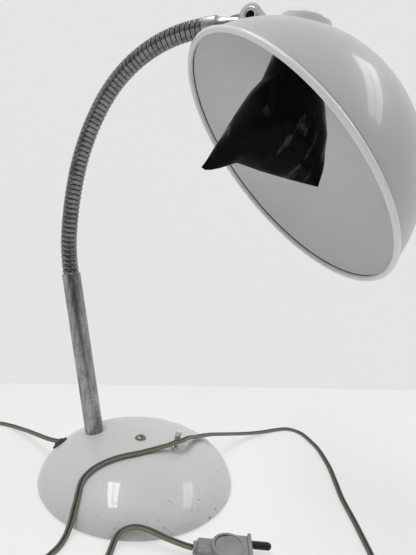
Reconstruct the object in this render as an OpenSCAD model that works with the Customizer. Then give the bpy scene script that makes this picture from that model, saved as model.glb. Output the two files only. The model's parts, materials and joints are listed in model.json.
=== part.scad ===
// Gooseneck desk lamp: domed weighted base, leaning tube stem, strip-wound neck,
// clevis knuckle and a bowl shade hung off-centre on its lampholder.
// Millimetres. Origin at the centre of the base on the table, +Z up,
// +X the way the neck reaches.

/* [Base] */
// Diameter of the pressed base shell
base_d = 190; // [180:1:210]
// Height of the base dome
base_h = 40; // [38:1:46]
// Wall of the base shell
shell_t = 1.5; // [1:0.1:2]
// Gap between the shell's rim and the table
rim_gap = 1; // [0.6:0.1:1.6]
// Thickness of the felt pad
felt_t = 2.5; // [2:0.1:3.5]
// Thickness of the bottom plate
plate_t = 1.2; // [0.8:0.1:2]
// Diameter of the cast ballast disc
ballast_d = 136; // [120:1:138]
// Thickness of the cast ballast disc
ballast_t = 14; // [10:0.5:15]

/* [Centre bolt] */
// Thread diameter of the centre bolt
bolt_d = 6; // [5:0.5:8]
// Diameter of the bolt's domed head
bolt_head_d = 10.6; // [10:0.2:14]
// Height of the bolt's domed head
bolt_head_h = 3.2; // [2.5:0.1:4]
// Thickness of the bolt's nut
bolt_nut_h = 4; // [3:0.5:4.5]

/* [Stem] */
// Outer diameter of the stem tube
stem_d = 18; // [17.8:0.1:20]
// Length of the stem tube
stem_len = 163; // [120:1:200]
// Lean of the stem away from the reach of the neck, degrees
stem_lean = 14.7; // [8:0.1:18]
// Distance of the stem's foot behind the centre of the base
stem_foot_x = 49.8; // [44:0.2:56]
// Offset of the lamp's upright plane from the centre of the base
arm_y = -8.5; // [-12:0.5:0]
// Diameter of the threaded nipple below the stem
nipple_d = 10; // [9:0.5:12]

/* [Gooseneck] */
// Outer diameter of the strip-wound neck
neck_d = 15.5; // [14.5:0.1:15.6]
// Length of neck taken by one turn of the strip
ring_pitch = 4.75; // [4.6:0.05:5.2]
// Visible groove between two turns
groove_w = 1.05; // [0.9:0.05:1.2]
// Turns of strip in one movable stretch of neck
rings_per_link = 5; // [4:1:6]

/* [Knuckle] */
// Radius of the eye at the end of the ferrule's tongue
eye_r = 8.5; // [8:0.1:9]
// Thickness of the tongue
tongue_t = 7; // [6:0.2:8]
// Radius of the bracket's two ears
ear_r = 9.5; // [9:0.1:10.2]
// Thickness of the bracket's sheet
bracket_t = 2.2; // [1.6:0.1:2.6]
// Outer radius of the hollow rivet
rivet_r = 4.4; // [4:0.1:5]
// Radius of the hole through the rivet
rivet_bore_r = 3.3; // [2.5:0.1:3.5]
// Thickness of each friction washer
washer_t = 0.8; // [0.6:0.1:1.2]
// Distance from the rivet to the lampholder's axis
arm_reach = 43.1; // [42:0.1:46]
// Height of the rivet over the seat plane of the shade
ear_rise = 2.9; // [2.6:0.1:4]
// Tilt of the lampholder from upright, degrees
head_tilt = 7.5; // [0:0.1:12]

/* [Shade] */
// Diameter of the bowl shade without its rolled bead
shade_d = 230.2; // [220:0.2:250]
// Depth of the bowl
shade_depth = 102.5; // [98:0.5:112]
// Wall of the shade
shade_t = 1; // [0.8:0.1:1.4]
// Radius of the rolled bead on the rim
bead_r = 2.3; // [1.8:0.1:3]
// Turn of the shade about the lampholder, degrees
shade_turn = 47.9; // [-90:0.1:90]

/* [Lampholder and bulb] */
// Outer radius of the round cap on the shade
cap_r = 19.5; // [18:0.1:21]
// Height of the round cap
cap_h = 8; // [8:0.5:16]
// Outer radius of the lampholder's body
holder_r = 18; // [17:0.1:18.5]
// Length of the lampholder's body
holder_len = 36; // [32:1:40]
// Largest radius of the bulb's glass
bulb_r = 27.5; // [24:0.5:30]
// Distance from the seat plane to the tip of the bulb
bulb_reach = 102; // [98:1:106]
// Radius of the bulb's metal cap
bulb_cap_r = 13.2; // [13:0.05:13.3]

/* [Switch] */
// Outer diameter of the switch's threaded bush
bush_d = 9.6; // [9:0.1:10.4]
// Width across flats of the switch's nut
switch_nut_af = 12.6; // [12:0.1:14]
// Thickness of the switch's nut
switch_nut_h = 3.5; // [3:0.1:4]
// Diameter of the push button
button_d = 6.2; // [5.6:0.1:6.6]
// Height of the button's top above the base
button_top = 17.5; // [15:0.5:19]
// Travel of the push button
button_travel = 3.5; // [2.5:0.1:4]
// Diameter of the switch's body
switch_body_d = 15; // [14:0.5:17]
// Length of the switch's body
switch_body_h = 15; // [14:0.5:16]

/* [Cord] */
// Width of the flat twin cord
cord_w = 5.6; // [5:0.1:6]
// Diameter of the cord's wound coil at the middle of its turns
coil_d = 60; // [56:1:64]

/* [Hidden] */
$fn = 64;

// Colours of the finishes
enamel = [0.50, 0.51, 0.52];
bare_steel = [0.62, 0.60, 0.56];
nickel = [0.75, 0.74, 0.70];
brass = [0.78, 0.62, 0.30];
iron = [0.25, 0.25, 0.26];
cord_grey = [0.45, 0.43, 0.40];
dark_felt = [0.12, 0.12, 0.12];
ivory = [0.90, 0.88, 0.82];
bakelite = [0.16, 0.12, 0.10];
film_black = [0.06, 0.06, 0.07];

// Named clearances
running = 0.05;
clear = 0.3;

// ---- Base dome: (r / R)^p + (z / h)^q = 1 ----
base_r = base_d / 2;
dome_p = 2.7;
dome_q = 1.75;
function dome_z(r, big = base_r, high = base_h) =
  high * pow(1 - pow(min(r, big) / big, dome_p), 1 / dome_q);
function dome_pt(t, big, high) = [big * pow(cos(t), 2 / dome_p), high * pow(sin(t), 2 / dome_q)];
function dome_slope(r) =
  -base_h / dome_q * pow(1 - pow(r / base_r, dome_p), 1 / dome_q - 1)
  * dome_p * pow(r / base_r, dome_p - 1) / base_r;
dome_steps = 26;
function dome_curve(big, high, low) =
  [for (i = [0:dome_steps])
    let (p = dome_pt(90 * i / dome_steps, big, high))
    if (p[1] > low) [i == dome_steps ? 0 : p[0], p[1]]];

module dome_solid(big, high, low) {
  curve = dome_curve(big, high, low);
  rotate_extrude()
    polygon(concat([[0, low], [curve[0][0], low]], curve));
}

// Places its children on the dome at (x, y), with +Z along the dome's normal
module on_dome(x, y) {
  r = norm([x, y]);
  translate([x, y, dome_z(r)])
    rotate([0, 0, atan2(y, x)])
      rotate([0, atan(-dome_slope(r)), 0])
        children();
}

// ---- Heights inside the base ----
plate_z = felt_t;
ballast_z = plate_z + plate_t;
ballast_top = ballast_z + ballast_t;
ballast_r = ballast_d / 2;
plate_r = base_r - shell_t - 2;
felt_r = plate_r - 0.5;
cup_r = 11;
cup_rise = 6;
bolt_r = bolt_d / 2;
bolt_hole_r = bolt_r + clear;
under_dome = base_h - shell_t;
nut_top = plate_z + cup_rise;
bolt_end = nut_top - bolt_nut_h - 1;

// ---- Stem ----
stem_r = stem_d / 2;
neck_r = neck_d / 2;
stem_bore_r = neck_r + running;
stem_foot = [-stem_foot_x, arm_y, dome_z(norm([stem_foot_x, arm_y]))];
stem_seat_r = stem_r + 2.5;
seat_drop = 0.7;
stem_top = stem_foot + stem_len * [-sin(stem_lean), 0, cos(stem_lean)];
nipple_r = nipple_d / 2;
nipple_bore_r = nipple_r - 1.4;
stem_nut_h = 4;
stem_washer_t = 1.2;

module at_stem_foot() {
  translate(stem_foot)
    rotate([0, -stem_lean, 0])
      children();
}

// ---- Neck path: arcs of [length, turn] from the top of the stem ----
neck_arcs = [[40, 14.6], [60, 11.3], [70, 19.9], [70, 32.1], [50, 23]];
function arc_step(p, a, len, turn) =
  let (k = turn / len, r = 180 / PI / k)
  p + r * [sin(a) - sin(a - turn), 0, cos(a - turn) - cos(a)];
// Pose at distance s along the neck: [point, angle from +X towards +Z]
function neck_pose(s, p = stem_top, a = 90 + stem_lean, i = 0) =
  s <= 0 && i == 0 ? [p + s * [cos(a), 0, sin(a)], a]
  : let (len = neck_arcs[i][0], turn = neck_arcs[i][1])
    s <= len || i == 4
    ? (s <= 0 ? [p, a] : [arc_step(p, a, s, turn * s / len), a - turn * s / len])
    : neck_pose(s - len, arc_step(p, a, len, turn), a - turn, i + 1);

module on_neck(s) {
  pose = neck_pose(s);
  translate(pose[0])
    rotate([0, 90 - pose[1], 0])
      children();
}

// ---- One turn of the interlocked strip, as a ring ----
strip_t = 0.8;
web_t = 0.5;
sleeve_len = ring_pitch - groove_w;
lip_len = 0.6;
hook_len = 3.2;
hook_in = neck_r - 2.15;
hook_out = hook_in + 0.6;
catch_r = neck_r - strip_t - 0.2;
lip_in = hook_out + 0.4;
edge_round = 0.45;
round_steps = 3;
function quarter(cx, cy, r, from) =
  [for (i = [0:round_steps])
    [cx + r * cos(from + 90 * i / round_steps), cy + r * sin(from + 90 * i / round_steps)]];

module strip_ring() {
  rotate_extrude($fn = 48)
    polygon(concat(
      [[hook_in, -hook_len], [catch_r, -hook_len], [catch_r, lip_len - hook_len],
       [hook_out, lip_len - hook_len], [hook_out, 0]],
      quarter(neck_r - edge_round, edge_round, edge_round, -90),
      quarter(neck_r - edge_round, sleeve_len - edge_round, edge_round, 0),
      [[lip_in, sleeve_len], [lip_in, sleeve_len - lip_len],
       [neck_r - strip_t, sleeve_len - lip_len], [neck_r - strip_t, web_t], [hook_in, web_t]]));
}

rings_in_stem = 3;
neck_links = 12;
neck_end = (neck_links * rings_per_link + 1) * ring_pitch;

// Link 0 is held in the stem; links 1 to 12 carry rings_per_link rings each
module neck_link(n) {
  first = n == 0 ? -rings_in_stem : (n - 1) * rings_per_link + 1;
  last = n * rings_per_link;
  color(bare_steel)
    for (k = [first:last])
      on_neck(k * ring_pitch)
        strip_ring();
}

// ---- Knuckle ----
eye_rise = 1.9;
ferrule_len = 42;
end_pose = neck_pose(neck_end);
end_a = end_pose[1];
pivot = end_pose[0] + ferrule_len * [cos(end_a), 0, sin(end_a)]
  + eye_rise * [-sin(end_a), 0, cos(end_a)];
ear_in = tongue_t / 2 + washer_t + 2 * running;
ear_out = ear_in + bracket_t;
flange_r = 6.5;
flange_t = 0.9;

module at_pivot() {
  translate(pivot)
    rotate([90, 0, 0])
      children();
}

// ---- Holder frame: origin on the seat plane of the shade, +Z out of the cap ----
head_origin = pivot
  + arm_reach * [cos(head_tilt), 0, -sin(head_tilt)]
  - ear_rise * [sin(head_tilt), 0, cos(head_tilt)];
module at_holder() {
  translate(head_origin)
    rotate([0, head_tilt, 0])
      children();
}
ear_x = -arm_reach;
seat_z = -1;
strap_w = 16;
strap_under = seat_z + running;
strap_over = strap_under + bracket_t;
holder_hole_r = nipple_r + running;

// ---- Shade bowl: r = R cos(t), z = depth sin(t)^(2 / m), t from the rim ----
shade_r = shade_d / 2;
bowl_m = 1.7;
hang_t = 48.1;
function bowl_pt(t, big, deep) = [big * cos(t), deep * pow(sin(t), 2 / bowl_m)];
hang = bowl_pt(hang_t, shade_r, shade_depth);
hang_slope = [-shade_r * sin(hang_t), shade_depth * 2 / bowl_m * pow(sin(hang_t), 2 / bowl_m - 1) * cos(hang_t)];
hang_angle = atan2(hang_slope[1], -hang_slope[0]);
bowl_steps = 30;
shade_seat_r = cap_r + 0.5;
module at_shade() {
  at_holder()
    rotate([0, 0, 180 + shade_turn])
      rotate([0, -hang_angle, 0])
        translate([-hang[0], 0, -hang[1]])
          children();
}

// ---- Bulb outline: neck cone, then a round end ----
bulb_eq_z = bulb_r - bulb_reach;
bulb_cap_len = 25;
bulb_cap_top = -13;
glass_top = bulb_cap_top - bulb_cap_len;
glass_neck_r = bulb_cap_r - 0.6;
bulb_steps = 14;
function bulb_curve(grow) =
  concat(
    [for (i = [0:bulb_steps])
      let (f = i / bulb_steps, ease = f * f * (3 - 2 * f))
      [glass_neck_r + (bulb_r - glass_neck_r) * ease + grow, glass_top + (bulb_eq_z - glass_top) * f]],
    [for (i = [1:bulb_steps])
      let (a = 90 * i / bulb_steps)
      [i == bulb_steps ? 0 : (bulb_r + grow) * cos(a), bulb_eq_z - (bulb_r + grow) * sin(a)]]);

// ================= Base =================
module base_shell() {
  color(enamel)
    difference() {
      union() {
        difference() {
          dome_solid(base_r, base_h, rim_gap);
          dome_solid(base_r - shell_t, base_h - shell_t, rim_gap - 1);
          at_stem_foot()
            translate([0, 0, -seat_drop])
              cylinder(r = stem_seat_r, h = 20);
          on_dome(switch_x, switch_y)
            translate([0, 0, -seat_drop])
              cylinder(r = switch_seat_r, h = 20);
        }
        at_stem_foot()
          translate([0, 0, -seat_drop - shell_t])
            cylinder(r = stem_seat_r, h = shell_t);
        on_dome(switch_x, switch_y)
          translate([0, 0, -seat_drop - shell_t])
            cylinder(r = switch_seat_r, h = shell_t);
      }
      translate([0, 0, under_dome - 5])
        cylinder(r = bolt_hole_r, h = 20);
      at_stem_foot()
        translate([0, 0, -10])
          cylinder(r = nipple_r + running, h = 20);
      on_dome(switch_x, switch_y)
        translate([0, 0, -10])
          cylinder(r = bush_r + running, h = 20);
      on_dome(grommet_x, grommet_y)
        translate([0, 0, -10])
          cylinder(r = grommet_neck_r + running, h = 20);
    }
}

module bottom_plate() {
  color(bare_steel)
    rotate_extrude()
      polygon([
        [bolt_hole_r, nut_top], [cup_r - plate_t, nut_top], [cup_r - plate_t, plate_z],
        [plate_r, plate_z], [plate_r, ballast_z], [cup_r, ballast_z],
        [cup_r, nut_top + plate_t], [bolt_hole_r, nut_top + plate_t]]);
}

module ballast() {
  chamfer = 2;
  color(iron)
    rotate_extrude()
      polygon([
        [bolt_hole_r, nut_top + plate_t], [cup_r + clear, nut_top + plate_t],
        [cup_r + clear, ballast_z], [ballast_r, ballast_z], [ballast_r, ballast_top - chamfer],
        [ballast_r - chamfer, ballast_top], [bolt_hole_r, ballast_top]]);
}

module felt_pad() {
  color(dark_felt)
    cylinder(r = felt_r, h = felt_t);
}

module centre_bolt() {
  color(nickel)
    rotate_extrude()
      polygon(concat(
        [[0, bolt_end], [bolt_r, bolt_end], [bolt_r, base_h]],
        [for (i = [0:8])
          let (a = 90 * i / 8)
          [i == 8 ? 0 : bolt_head_d / 2 * cos(a), base_h + bolt_head_h * sin(a)]]));
}

module spacer_tube() {
  color(bare_steel)
    translate([0, 0, ballast_top])
      difference() {
        cylinder(r = bolt_r + 2, h = under_dome - ballast_top - running);
        translate([0, 0, -1])
          cylinder(r = bolt_hole_r, h = base_h);
      }
}

module bolt_nut() {
  color(nickel)
    translate([0, 0, nut_top - bolt_nut_h])
      difference() {
        cylinder(r = bolt_r + 3, h = bolt_nut_h, $fn = 6);
        translate([0, 0, -1])
          cylinder(r = bolt_r + running, h = bolt_nut_h + 2);
      }
}

// ================= Stem =================
bush_top = 10;
module stem_tube() {
  lip = 1;
  color(bare_steel)
    at_stem_foot()
      rotate_extrude()
        polygon(concat(
          [[stem_bore_r, -seat_drop], [stem_r, -seat_drop]],
          [for (i = [0:4])
            let (a = 90 * i / 4)
            [stem_r - lip + lip * cos(a), stem_len - lip + lip * sin(a)]],
          [[stem_bore_r, stem_len]]));
}

module stem_nipple() {
  drop = seat_drop + shell_t + stem_washer_t + stem_nut_h + 2;
  color(brass)
    at_stem_foot()
      rotate_extrude()
        polygon([
          [nipple_bore_r, -drop], [nipple_r, -drop], [nipple_r, -seat_drop],
          [stem_bore_r - running, -seat_drop], [stem_bore_r - running, bush_top],
          [nipple_bore_r, bush_top]]);
}

module stem_washer() {
  color(nickel)
    at_stem_foot()
      translate([0, 0, -seat_drop - shell_t - stem_washer_t])
        difference() {
          cylinder(r = stem_r, h = stem_washer_t);
          translate([0, 0, -1])
            cylinder(r = nipple_r + running, h = stem_washer_t + 2);
        }
}

module stem_nut() {
  color(nickel)
    at_stem_foot()
      translate([0, 0, -seat_drop - shell_t - stem_washer_t - stem_nut_h])
        difference() {
          cylinder(r = nipple_r + 3.2, h = stem_nut_h, $fn = 6);
          translate([0, 0, -1])
            cylinder(r = nipple_r + running, h = stem_nut_h + 2);
        }
}

// ================= Cord entry =================
grommet_x = -79.8;
grommet_y = -24.2;
grommet_neck_r = 5.2;
grommet_flange_r = 8;
cord_hole_r = cord_w / 2 + 0.1;
module grommet() {
  color(dark_felt)
    difference() {
      on_dome(grommet_x, grommet_y)
        difference() {
          union() {
            translate([0, 0, -2.5])
              cylinder(r = grommet_flange_r, h = 4.5);
            translate([0, 0, -5])
              cylinder(r = grommet_neck_r, h = 6);
            translate([0, 0, 1.9])
              cylinder(r1 = grommet_neck_r, r2 = cord_hole_r + 1, h = 1.2);
          }
          translate([0, 0, -20])
            cylinder(r = cord_hole_r, h = 40);
        }
      difference() {
        dome_solid(base_r, base_h, 0);
        on_dome(grommet_x, grommet_y)
          translate([0, 0, -15])
            cylinder(r = grommet_neck_r, h = 40);
      }
    }
}

// Pressed clip that grips the cord inside the shell
module cord_clip() {
  clip_w = 11;
  clip_t = 4;
  color(bare_steel)
    on_dome(grommet_x, grommet_y)
      translate([0, 0, -5 - clip_t])
        difference() {
          translate([-clip_w / 2, -clip_w / 2, 0])
            cube([clip_w, clip_w, clip_t]);
          translate([0, 0, -1])
            cylinder(r = cord_hole_r, h = clip_t + 2);
        }
}

// ================= Switch =================
switch_x = 35;
switch_y = 9;
bush_r = bush_d / 2;
switch_seat_r = 9;
button_r = button_d / 2;
bush_stand = switch_nut_h + 2;
wall_in = 1.6;
button_flange_r = button_r + 1.6;
button_flange_t = 1.5;
flange_top = -seat_drop - shell_t - wall_in - running;
spring_wire = 0.5;

module at_switch() {
  on_dome(switch_x, switch_y)
    children();
}

module switch_body() {
  top = -seat_drop - shell_t;
  color(bakelite)
    at_switch()
      rotate_extrude()
        polygon([
          [0, top - switch_body_h], [switch_body_d / 2, top - switch_body_h],
          [switch_body_d / 2, top], [bush_r, top], [bush_r, bush_stand],
          [button_r + running, bush_stand], [button_r + running, top - wall_in],
          [button_flange_r + running, top - wall_in],
          [button_flange_r + running, top - switch_body_h + wall_in],
          [0, top - switch_body_h + wall_in]]);
}

module switch_nut() {
  color(nickel)
    at_switch()
      translate([0, 0, -seat_drop])
        difference() {
          intersection() {
            cylinder(r = switch_nut_af / sqrt(3), h = switch_nut_h, $fn = 6);
            translate([0, 0, -1])
              cylinder(r1 = switch_nut_af / sqrt(3) + 2, r2 = switch_nut_af / 2 + 0.2,
                       h = switch_nut_h + 1);
          }
          translate([0, 0, -1])
            cylinder(r = bush_r + running, h = switch_nut_h + 2);
        }
}

module switch_button() {
  edge = 0.7;
  color(ivory)
    at_switch()
      rotate_extrude()
        polygon(concat(
          [[0, flange_top - button_flange_t], [button_flange_r, flange_top - button_flange_t],
           [button_flange_r, flange_top], [button_r, flange_top]],
          quarter(button_r - edge, button_top - edge, edge, 0),
          [[0, button_top]]));
}

// Return spring, drawn as the tube that its turns fill
module switch_spring() {
  floor_z = -seat_drop - shell_t - switch_body_h + wall_in;
  color(nickel)
    at_switch()
      translate([0, 0, floor_z])
        difference() {
          cylinder(r = button_r, h = flange_top - button_flange_t - floor_z);
          translate([0, 0, -1])
            cylinder(r = button_r - spring_wire, h = 30);
        }
}

// ================= Flat twin lead =================
function sub3(list, i) = list[min(max(i, 0), len(list) - 1)];
function unit(v) = v / norm(v);
function tangent(list, i) = unit(sub3(list, i + 1) - sub3(list, i - 1));
// Rounded flat section of the cord, wide along the level direction
module swept_cord(route, wide, thick, sides = 8) {
  count = len(route);
  pts = [for (i = [0:count - 1])
    let (t = tangent(route, i), flat = cross([0, 0, 1], t), across = unit(flat), up = cross(t, across))
    for (j = [0:sides - 1])
      let (a = 360 * (j + 0.5) / sides)
      route[i] + across * wide / 2 * cos(a) + up * thick / 2 * sin(a)];
  faces = concat(
    [[for (j = [0:sides - 1]) j]],
    [for (i = [0:count - 2]) for (j = [0:sides - 1])
      let (a = i * sides + j, b = i * sides + (j + 1) % sides)
      each [[a, a + sides, b], [b, a + sides, b + sides]]],
    [[for (j = [sides - 1:-1:0]) (count - 1) * sides + j]]);
  polyhedron(points = pts, faces = faces);
}

lead_t = 2.8;
lead_side = 2.4;
// From the clip over the ballast to the switch and on to the stem's nipple
base_lead_route = [
  [-73.5, -22.2, 12.5], [-72, -20.5, 12.3], [-71, -15, 14.5], [-69.5, -8, 18], [-63, 4, 20.5],
  [-50, 14, 20.5], [-36, 22, 20.5], [-18, 28, 20.5], [2, 30, 20.5], [16, 26, 20.5], [25, 17, 20.5]];
module base_lead() {
  color(cord_grey)
    swept_cord(base_lead_route, lead_side, lead_side);
}

// ================= Ferrule and knuckle =================
module neck_ferrule() {
  collar_r = 8.2;
  collar_len = 12;
  nose_r = 4.6;
  nose_from = ferrule_len - eye_r - 1.5;
  color(nickel)
    difference() {
      union() {
        on_neck(neck_end)
          rotate_extrude()
            polygon([
              [hook_in, -hook_len], [catch_r, -hook_len], [catch_r, lip_len - hook_len],
              [hook_out, lip_len - hook_len], [hook_out, 0], [collar_r, 0],
              [collar_r, collar_len], [nose_r, nose_from], [0, nose_from],
              [0, collar_len + 4], [hook_in, collar_len]]);
        on_neck(neck_end)
          translate([0, 0, nose_from - 8])
            difference() {
              cylinder(r = nose_r + 0.4, h = 8);
              for (side = [-1, 1])
                translate([-10, side * (tongue_t / 2 + 5) - 5, -1])
                  cube([20, 10, 12]);
            }
        at_pivot()
          translate([0, 0, -tongue_t / 2])
            cylinder(r = eye_r, h = tongue_t);
        on_neck(neck_end)
          translate([-eye_rise - 3.2, -tongue_t / 2, nose_from - 6])
            cube([6.8, tongue_t, 12]);
      }
      at_pivot()
        translate([0, 0, -20])
          cylinder(r = rivet_r + running, h = 40);
    }
}

module tilt_pivot() {
  color(nickel)
    at_pivot()
      difference() {
        union() {
          translate([0, 0, -ear_out - flange_t])
            cylinder(r = rivet_r, h = 2 * (ear_out + flange_t));
          for (side = [-1, 1])
            translate([0, 0, side * (ear_out + flange_t / 2) - flange_t / 2])
              cylinder(r = flange_r, h = flange_t);
        }
        translate([0, 0, -20])
          cylinder(r = rivet_bore_r, h = 40);
      }
}

module friction_washers() {
  color(brass)
    at_pivot()
      for (side = [-1, 1])
        translate([0, 0, side * (ear_in - washer_t / 2) - washer_t / 2])
          difference() {
            cylinder(r = eye_r - 0.5, h = washer_t);
            translate([0, 0, -1])
              cylinder(r = rivet_r + running, h = washer_t + 2);
          }
}

ear_back = ear_x + eye_r + 1.5;
module shade_bracket() {
  color(enamel)
    difference() {
      union() {
        at_holder()
          intersection() {
            translate([ear_back, -strap_w / 2, strap_under])
              cube([-ear_back + strap_w / 2, strap_w, bracket_t]);
            union() {
              cylinder(r = strap_w / 2, h = 10, center = true);
              translate([ear_x, -strap_w / 2, -5])
                cube([-ear_x, strap_w, 10]);
            }
          }
        for (side = [-1, 1])
          at_holder()
            translate([0, side * (ear_in + bracket_t / 2), 0])
              rotate([90, 0, 0])
                translate([0, 0, -bracket_t / 2])
                  linear_extrude(bracket_t)
                    union() {
                      translate([ear_x, ear_rise])
                        circle(r = ear_r);
                      polygon([
                        [ear_x + 4, ear_rise + 8.4], [ear_back + 7, strap_over],
                        [ear_back + 7, strap_under], [ear_x + 6.5, strap_under]]);
                    }
      }
      at_holder()
        translate([0, 0, -20])
          cylinder(r = holder_hole_r, h = 40);
      at_holder()
        translate([ear_x, 0, ear_rise])
          rotate([90, 0, 0])
            translate([0, 0, -20])
              cylinder(r = rivet_r + running, h = 40);
    }
}

// ================= Lampholder =================
nipple_top = cap_h - 1.6;
module holder_cap() {
  skirt = 4;
  wall = 1.2;
  color(enamel)
    at_holder()
      difference() {
        rotate_extrude()
          polygon(concat(
            [[cap_r - wall, seat_z + running], [cap_r, seat_z + running]],
            [for (i = [0:12])
              let (a = 90 * i / 12)
              [i == 12 ? 0 : cap_r * pow(cos(a), 0.6), skirt + (cap_h - skirt) * sin(a)]],
            [for (i = [12:-1:0])
              let (a = 90 * i / 12)
              [i == 12 ? 0 : (cap_r - wall) * pow(cos(a), 0.6), skirt + (cap_h - skirt - wall) * sin(a)]]));
        translate([-30, -strap_w / 2 - clear, -5])
          cube([30, strap_w + 2 * clear, strap_over + 5 + clear]);
      }
}

module holder_nipple() {
  color(brass)
    at_holder()
      translate([0, 0, holder_top])
        difference() {
          cylinder(r = nipple_r, h = nipple_top - holder_top);
          translate([0, 0, -1])
            cylinder(r = nipple_bore_r, h = 40);
        }
}

module nipple_nut() {
  color(nickel)
    at_holder()
      translate([0, 0, strap_over])
        difference() {
          cylinder(r = nipple_r + 3.2, h = 3.5, $fn = 6);
          translate([0, 0, -1])
            cylinder(r = nipple_r + running, h = 6);
        }
}

holder_top = seat_z - shade_t - running;
holder_floor = 3;
module holder_body() {
  wall = 2;
  color(bakelite)
    at_holder()
      translate([0, 0, holder_top])
        rotate_extrude()
          polygon([
            [nipple_r + running, 0], [holder_r - 3, 0], [holder_r, -5], [holder_r, -holder_len],
            [holder_r - wall, -holder_len], [holder_r - wall, -holder_floor],
            [nipple_r + running, -holder_floor]]);
}

shell_gap = 0.4;
module thread_shell() {
  wall = 0.6;
  rim = holder_top - holder_floor;
  color(brass)
    at_holder()
      translate([0, 0, rim - 22])
        difference() {
          union() {
            cylinder(r = bulb_cap_r + shell_gap + wall, h = 22);
            translate([0, 0, 21])
              cylinder(r = holder_r - 2 - running, h = 1);
          }
          translate([0, 0, -1])
            cylinder(r = bulb_cap_r + shell_gap, h = 30);
        }
}

module centre_contact() {
  top = holder_top - holder_floor;
  button = bulb_cap_top + 1.5;
  color(brass)
    at_holder() {
      translate([0, -3, button])
        cube([9.5, 6, 0.8]);
      translate([8.7, -3, button])
        cube([0.8, 6, top - button]);
    }
}

module bulb_cap() {
  tip = 1.2;
  color(nickel)
    at_holder()
      translate([0, 0, glass_top])
        rotate_extrude()
          polygon([
            [0, 0], [glass_neck_r, 0], [bulb_cap_r, 2], [bulb_cap_r, bulb_cap_len - 5],
            [bulb_cap_r - 6, bulb_cap_len], [4, bulb_cap_len], [4, bulb_cap_len + tip],
            [0, bulb_cap_len + tip]]);
}

module bulb_glass() {
  wall = 1;
  inner = bulb_curve(-wall);
  color([0.95, 0.94, 0.90, 0.6])
    at_holder()
      rotate_extrude()
        polygon(concat(bulb_curve(0), [for (i = [len(inner) - 1:-1:0]) inner[i]]));
}

// ================= Film wrapped round the bulb =================
wrap_turn = 18.3;
wrap_t = 7;
module wrap_room() {
  gap = 0.8;
  rotate_extrude($fn = 24)
    polygon(concat(
      [[0, 0], [holder_r + gap, 0], [holder_r + gap, holder_top - holder_len - gap],
       [bulb_cap_r + 3, holder_top - holder_len - 3]],
      [for (p = bulb_curve(gap)) if (p[1] < holder_top - holder_len - 4) p]));
}

module film_wrap() {
  color(film_black)
    at_holder()
      rotate([0, 0, wrap_turn])
        difference() {
          hull() {
            translate([0, 0, -28])
              cylinder(r = holder_r + 2, h = 3, $fn = 20);
            translate([0, 0, bulb_eq_z + 4])
              scale([1.22, 1.12, 1])
                cylinder(r = bulb_r, h = 1, $fn = 24);
            translate([0, 0, bulb_eq_z - 26])
              scale([1.5, 0.8, 1])
                cylinder(r = bulb_r, h = 1, $fn = 24);
            translate([-52, 0, -114])
              sphere(r = wrap_t / 2, $fn = 10);
            translate([38, 0, -110])
              sphere(r = wrap_t / 2, $fn = 10);
          }
          wrap_room();
        }
}

// ================= Shade =================
module bowl_solid(big, deep, low) {
  rotate_extrude($fn = 96)
    polygon(concat(
      [[0, low]],
      [[big, low]],
      [for (i = [0:bowl_steps])
        let (p = bowl_pt(90 * i / bowl_steps, big, deep))
        if (p[1] > low) [i == bowl_steps ? 0 : p[0], p[1]]]));
}

module shade_seat(h, r, top) {
  translate([hang[0], 0, hang[1]])
    rotate([0, hang_angle, 0])
      translate([0, 0, top - h])
        cylinder(r = r, h = h);
}

module shade() {
  rim_step = 2;
  color(enamel)
    at_shade()
      difference() {
        union() {
          difference() {
            bowl_solid(shade_r, shade_depth, bead_r);
            bowl_solid(shade_r - shade_t, shade_depth - shade_t, -1);
            shade_seat(10, shade_seat_r, seat_z + 10);
          }
          shade_seat(shade_t, shade_seat_r, seat_z);
          difference() {
            shade_seat(3, shade_seat_r + shade_t, seat_z);
            shade_seat(10, shade_seat_r - 0.2, seat_z + 5);
          }
          rotate_extrude($fn = 96)
            translate([shade_r + bead_r - rim_step, bead_r])
              circle(r = bead_r, $fn = 24);
        }
        shade_seat(30, holder_hole_r, 15);
      }
}

// ================= Cord =================
cord_lift = 1.5;
cord_near_route = [
  [-81.4, -24.7, 21.9], [-85.5, -26.6, 22.3], [-91, -26.6, 21.6], [-98.5, -24.9, 20.1],
  [-106, -22.4, 18.2], [-114, -19.5, 16.2], [-123.5, -16, 13.6], [-135, -11.5, 10.4],
  [-145.5, -7.8, 7.4], [-156.5, -4.8, 4.8], [-166, -2.8, 3], [-174.5, -2.4, 1.9],
  [-181.5, -3.2, cord_lift], [-187.5, -5.2, cord_lift], [-194, -8.2, cord_lift],
  [-200.5, -10.2, cord_lift]];

module cord_near() {
  color(cord_grey)
    swept_cord(cord_near_route, cord_w, lead_t);
}

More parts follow.
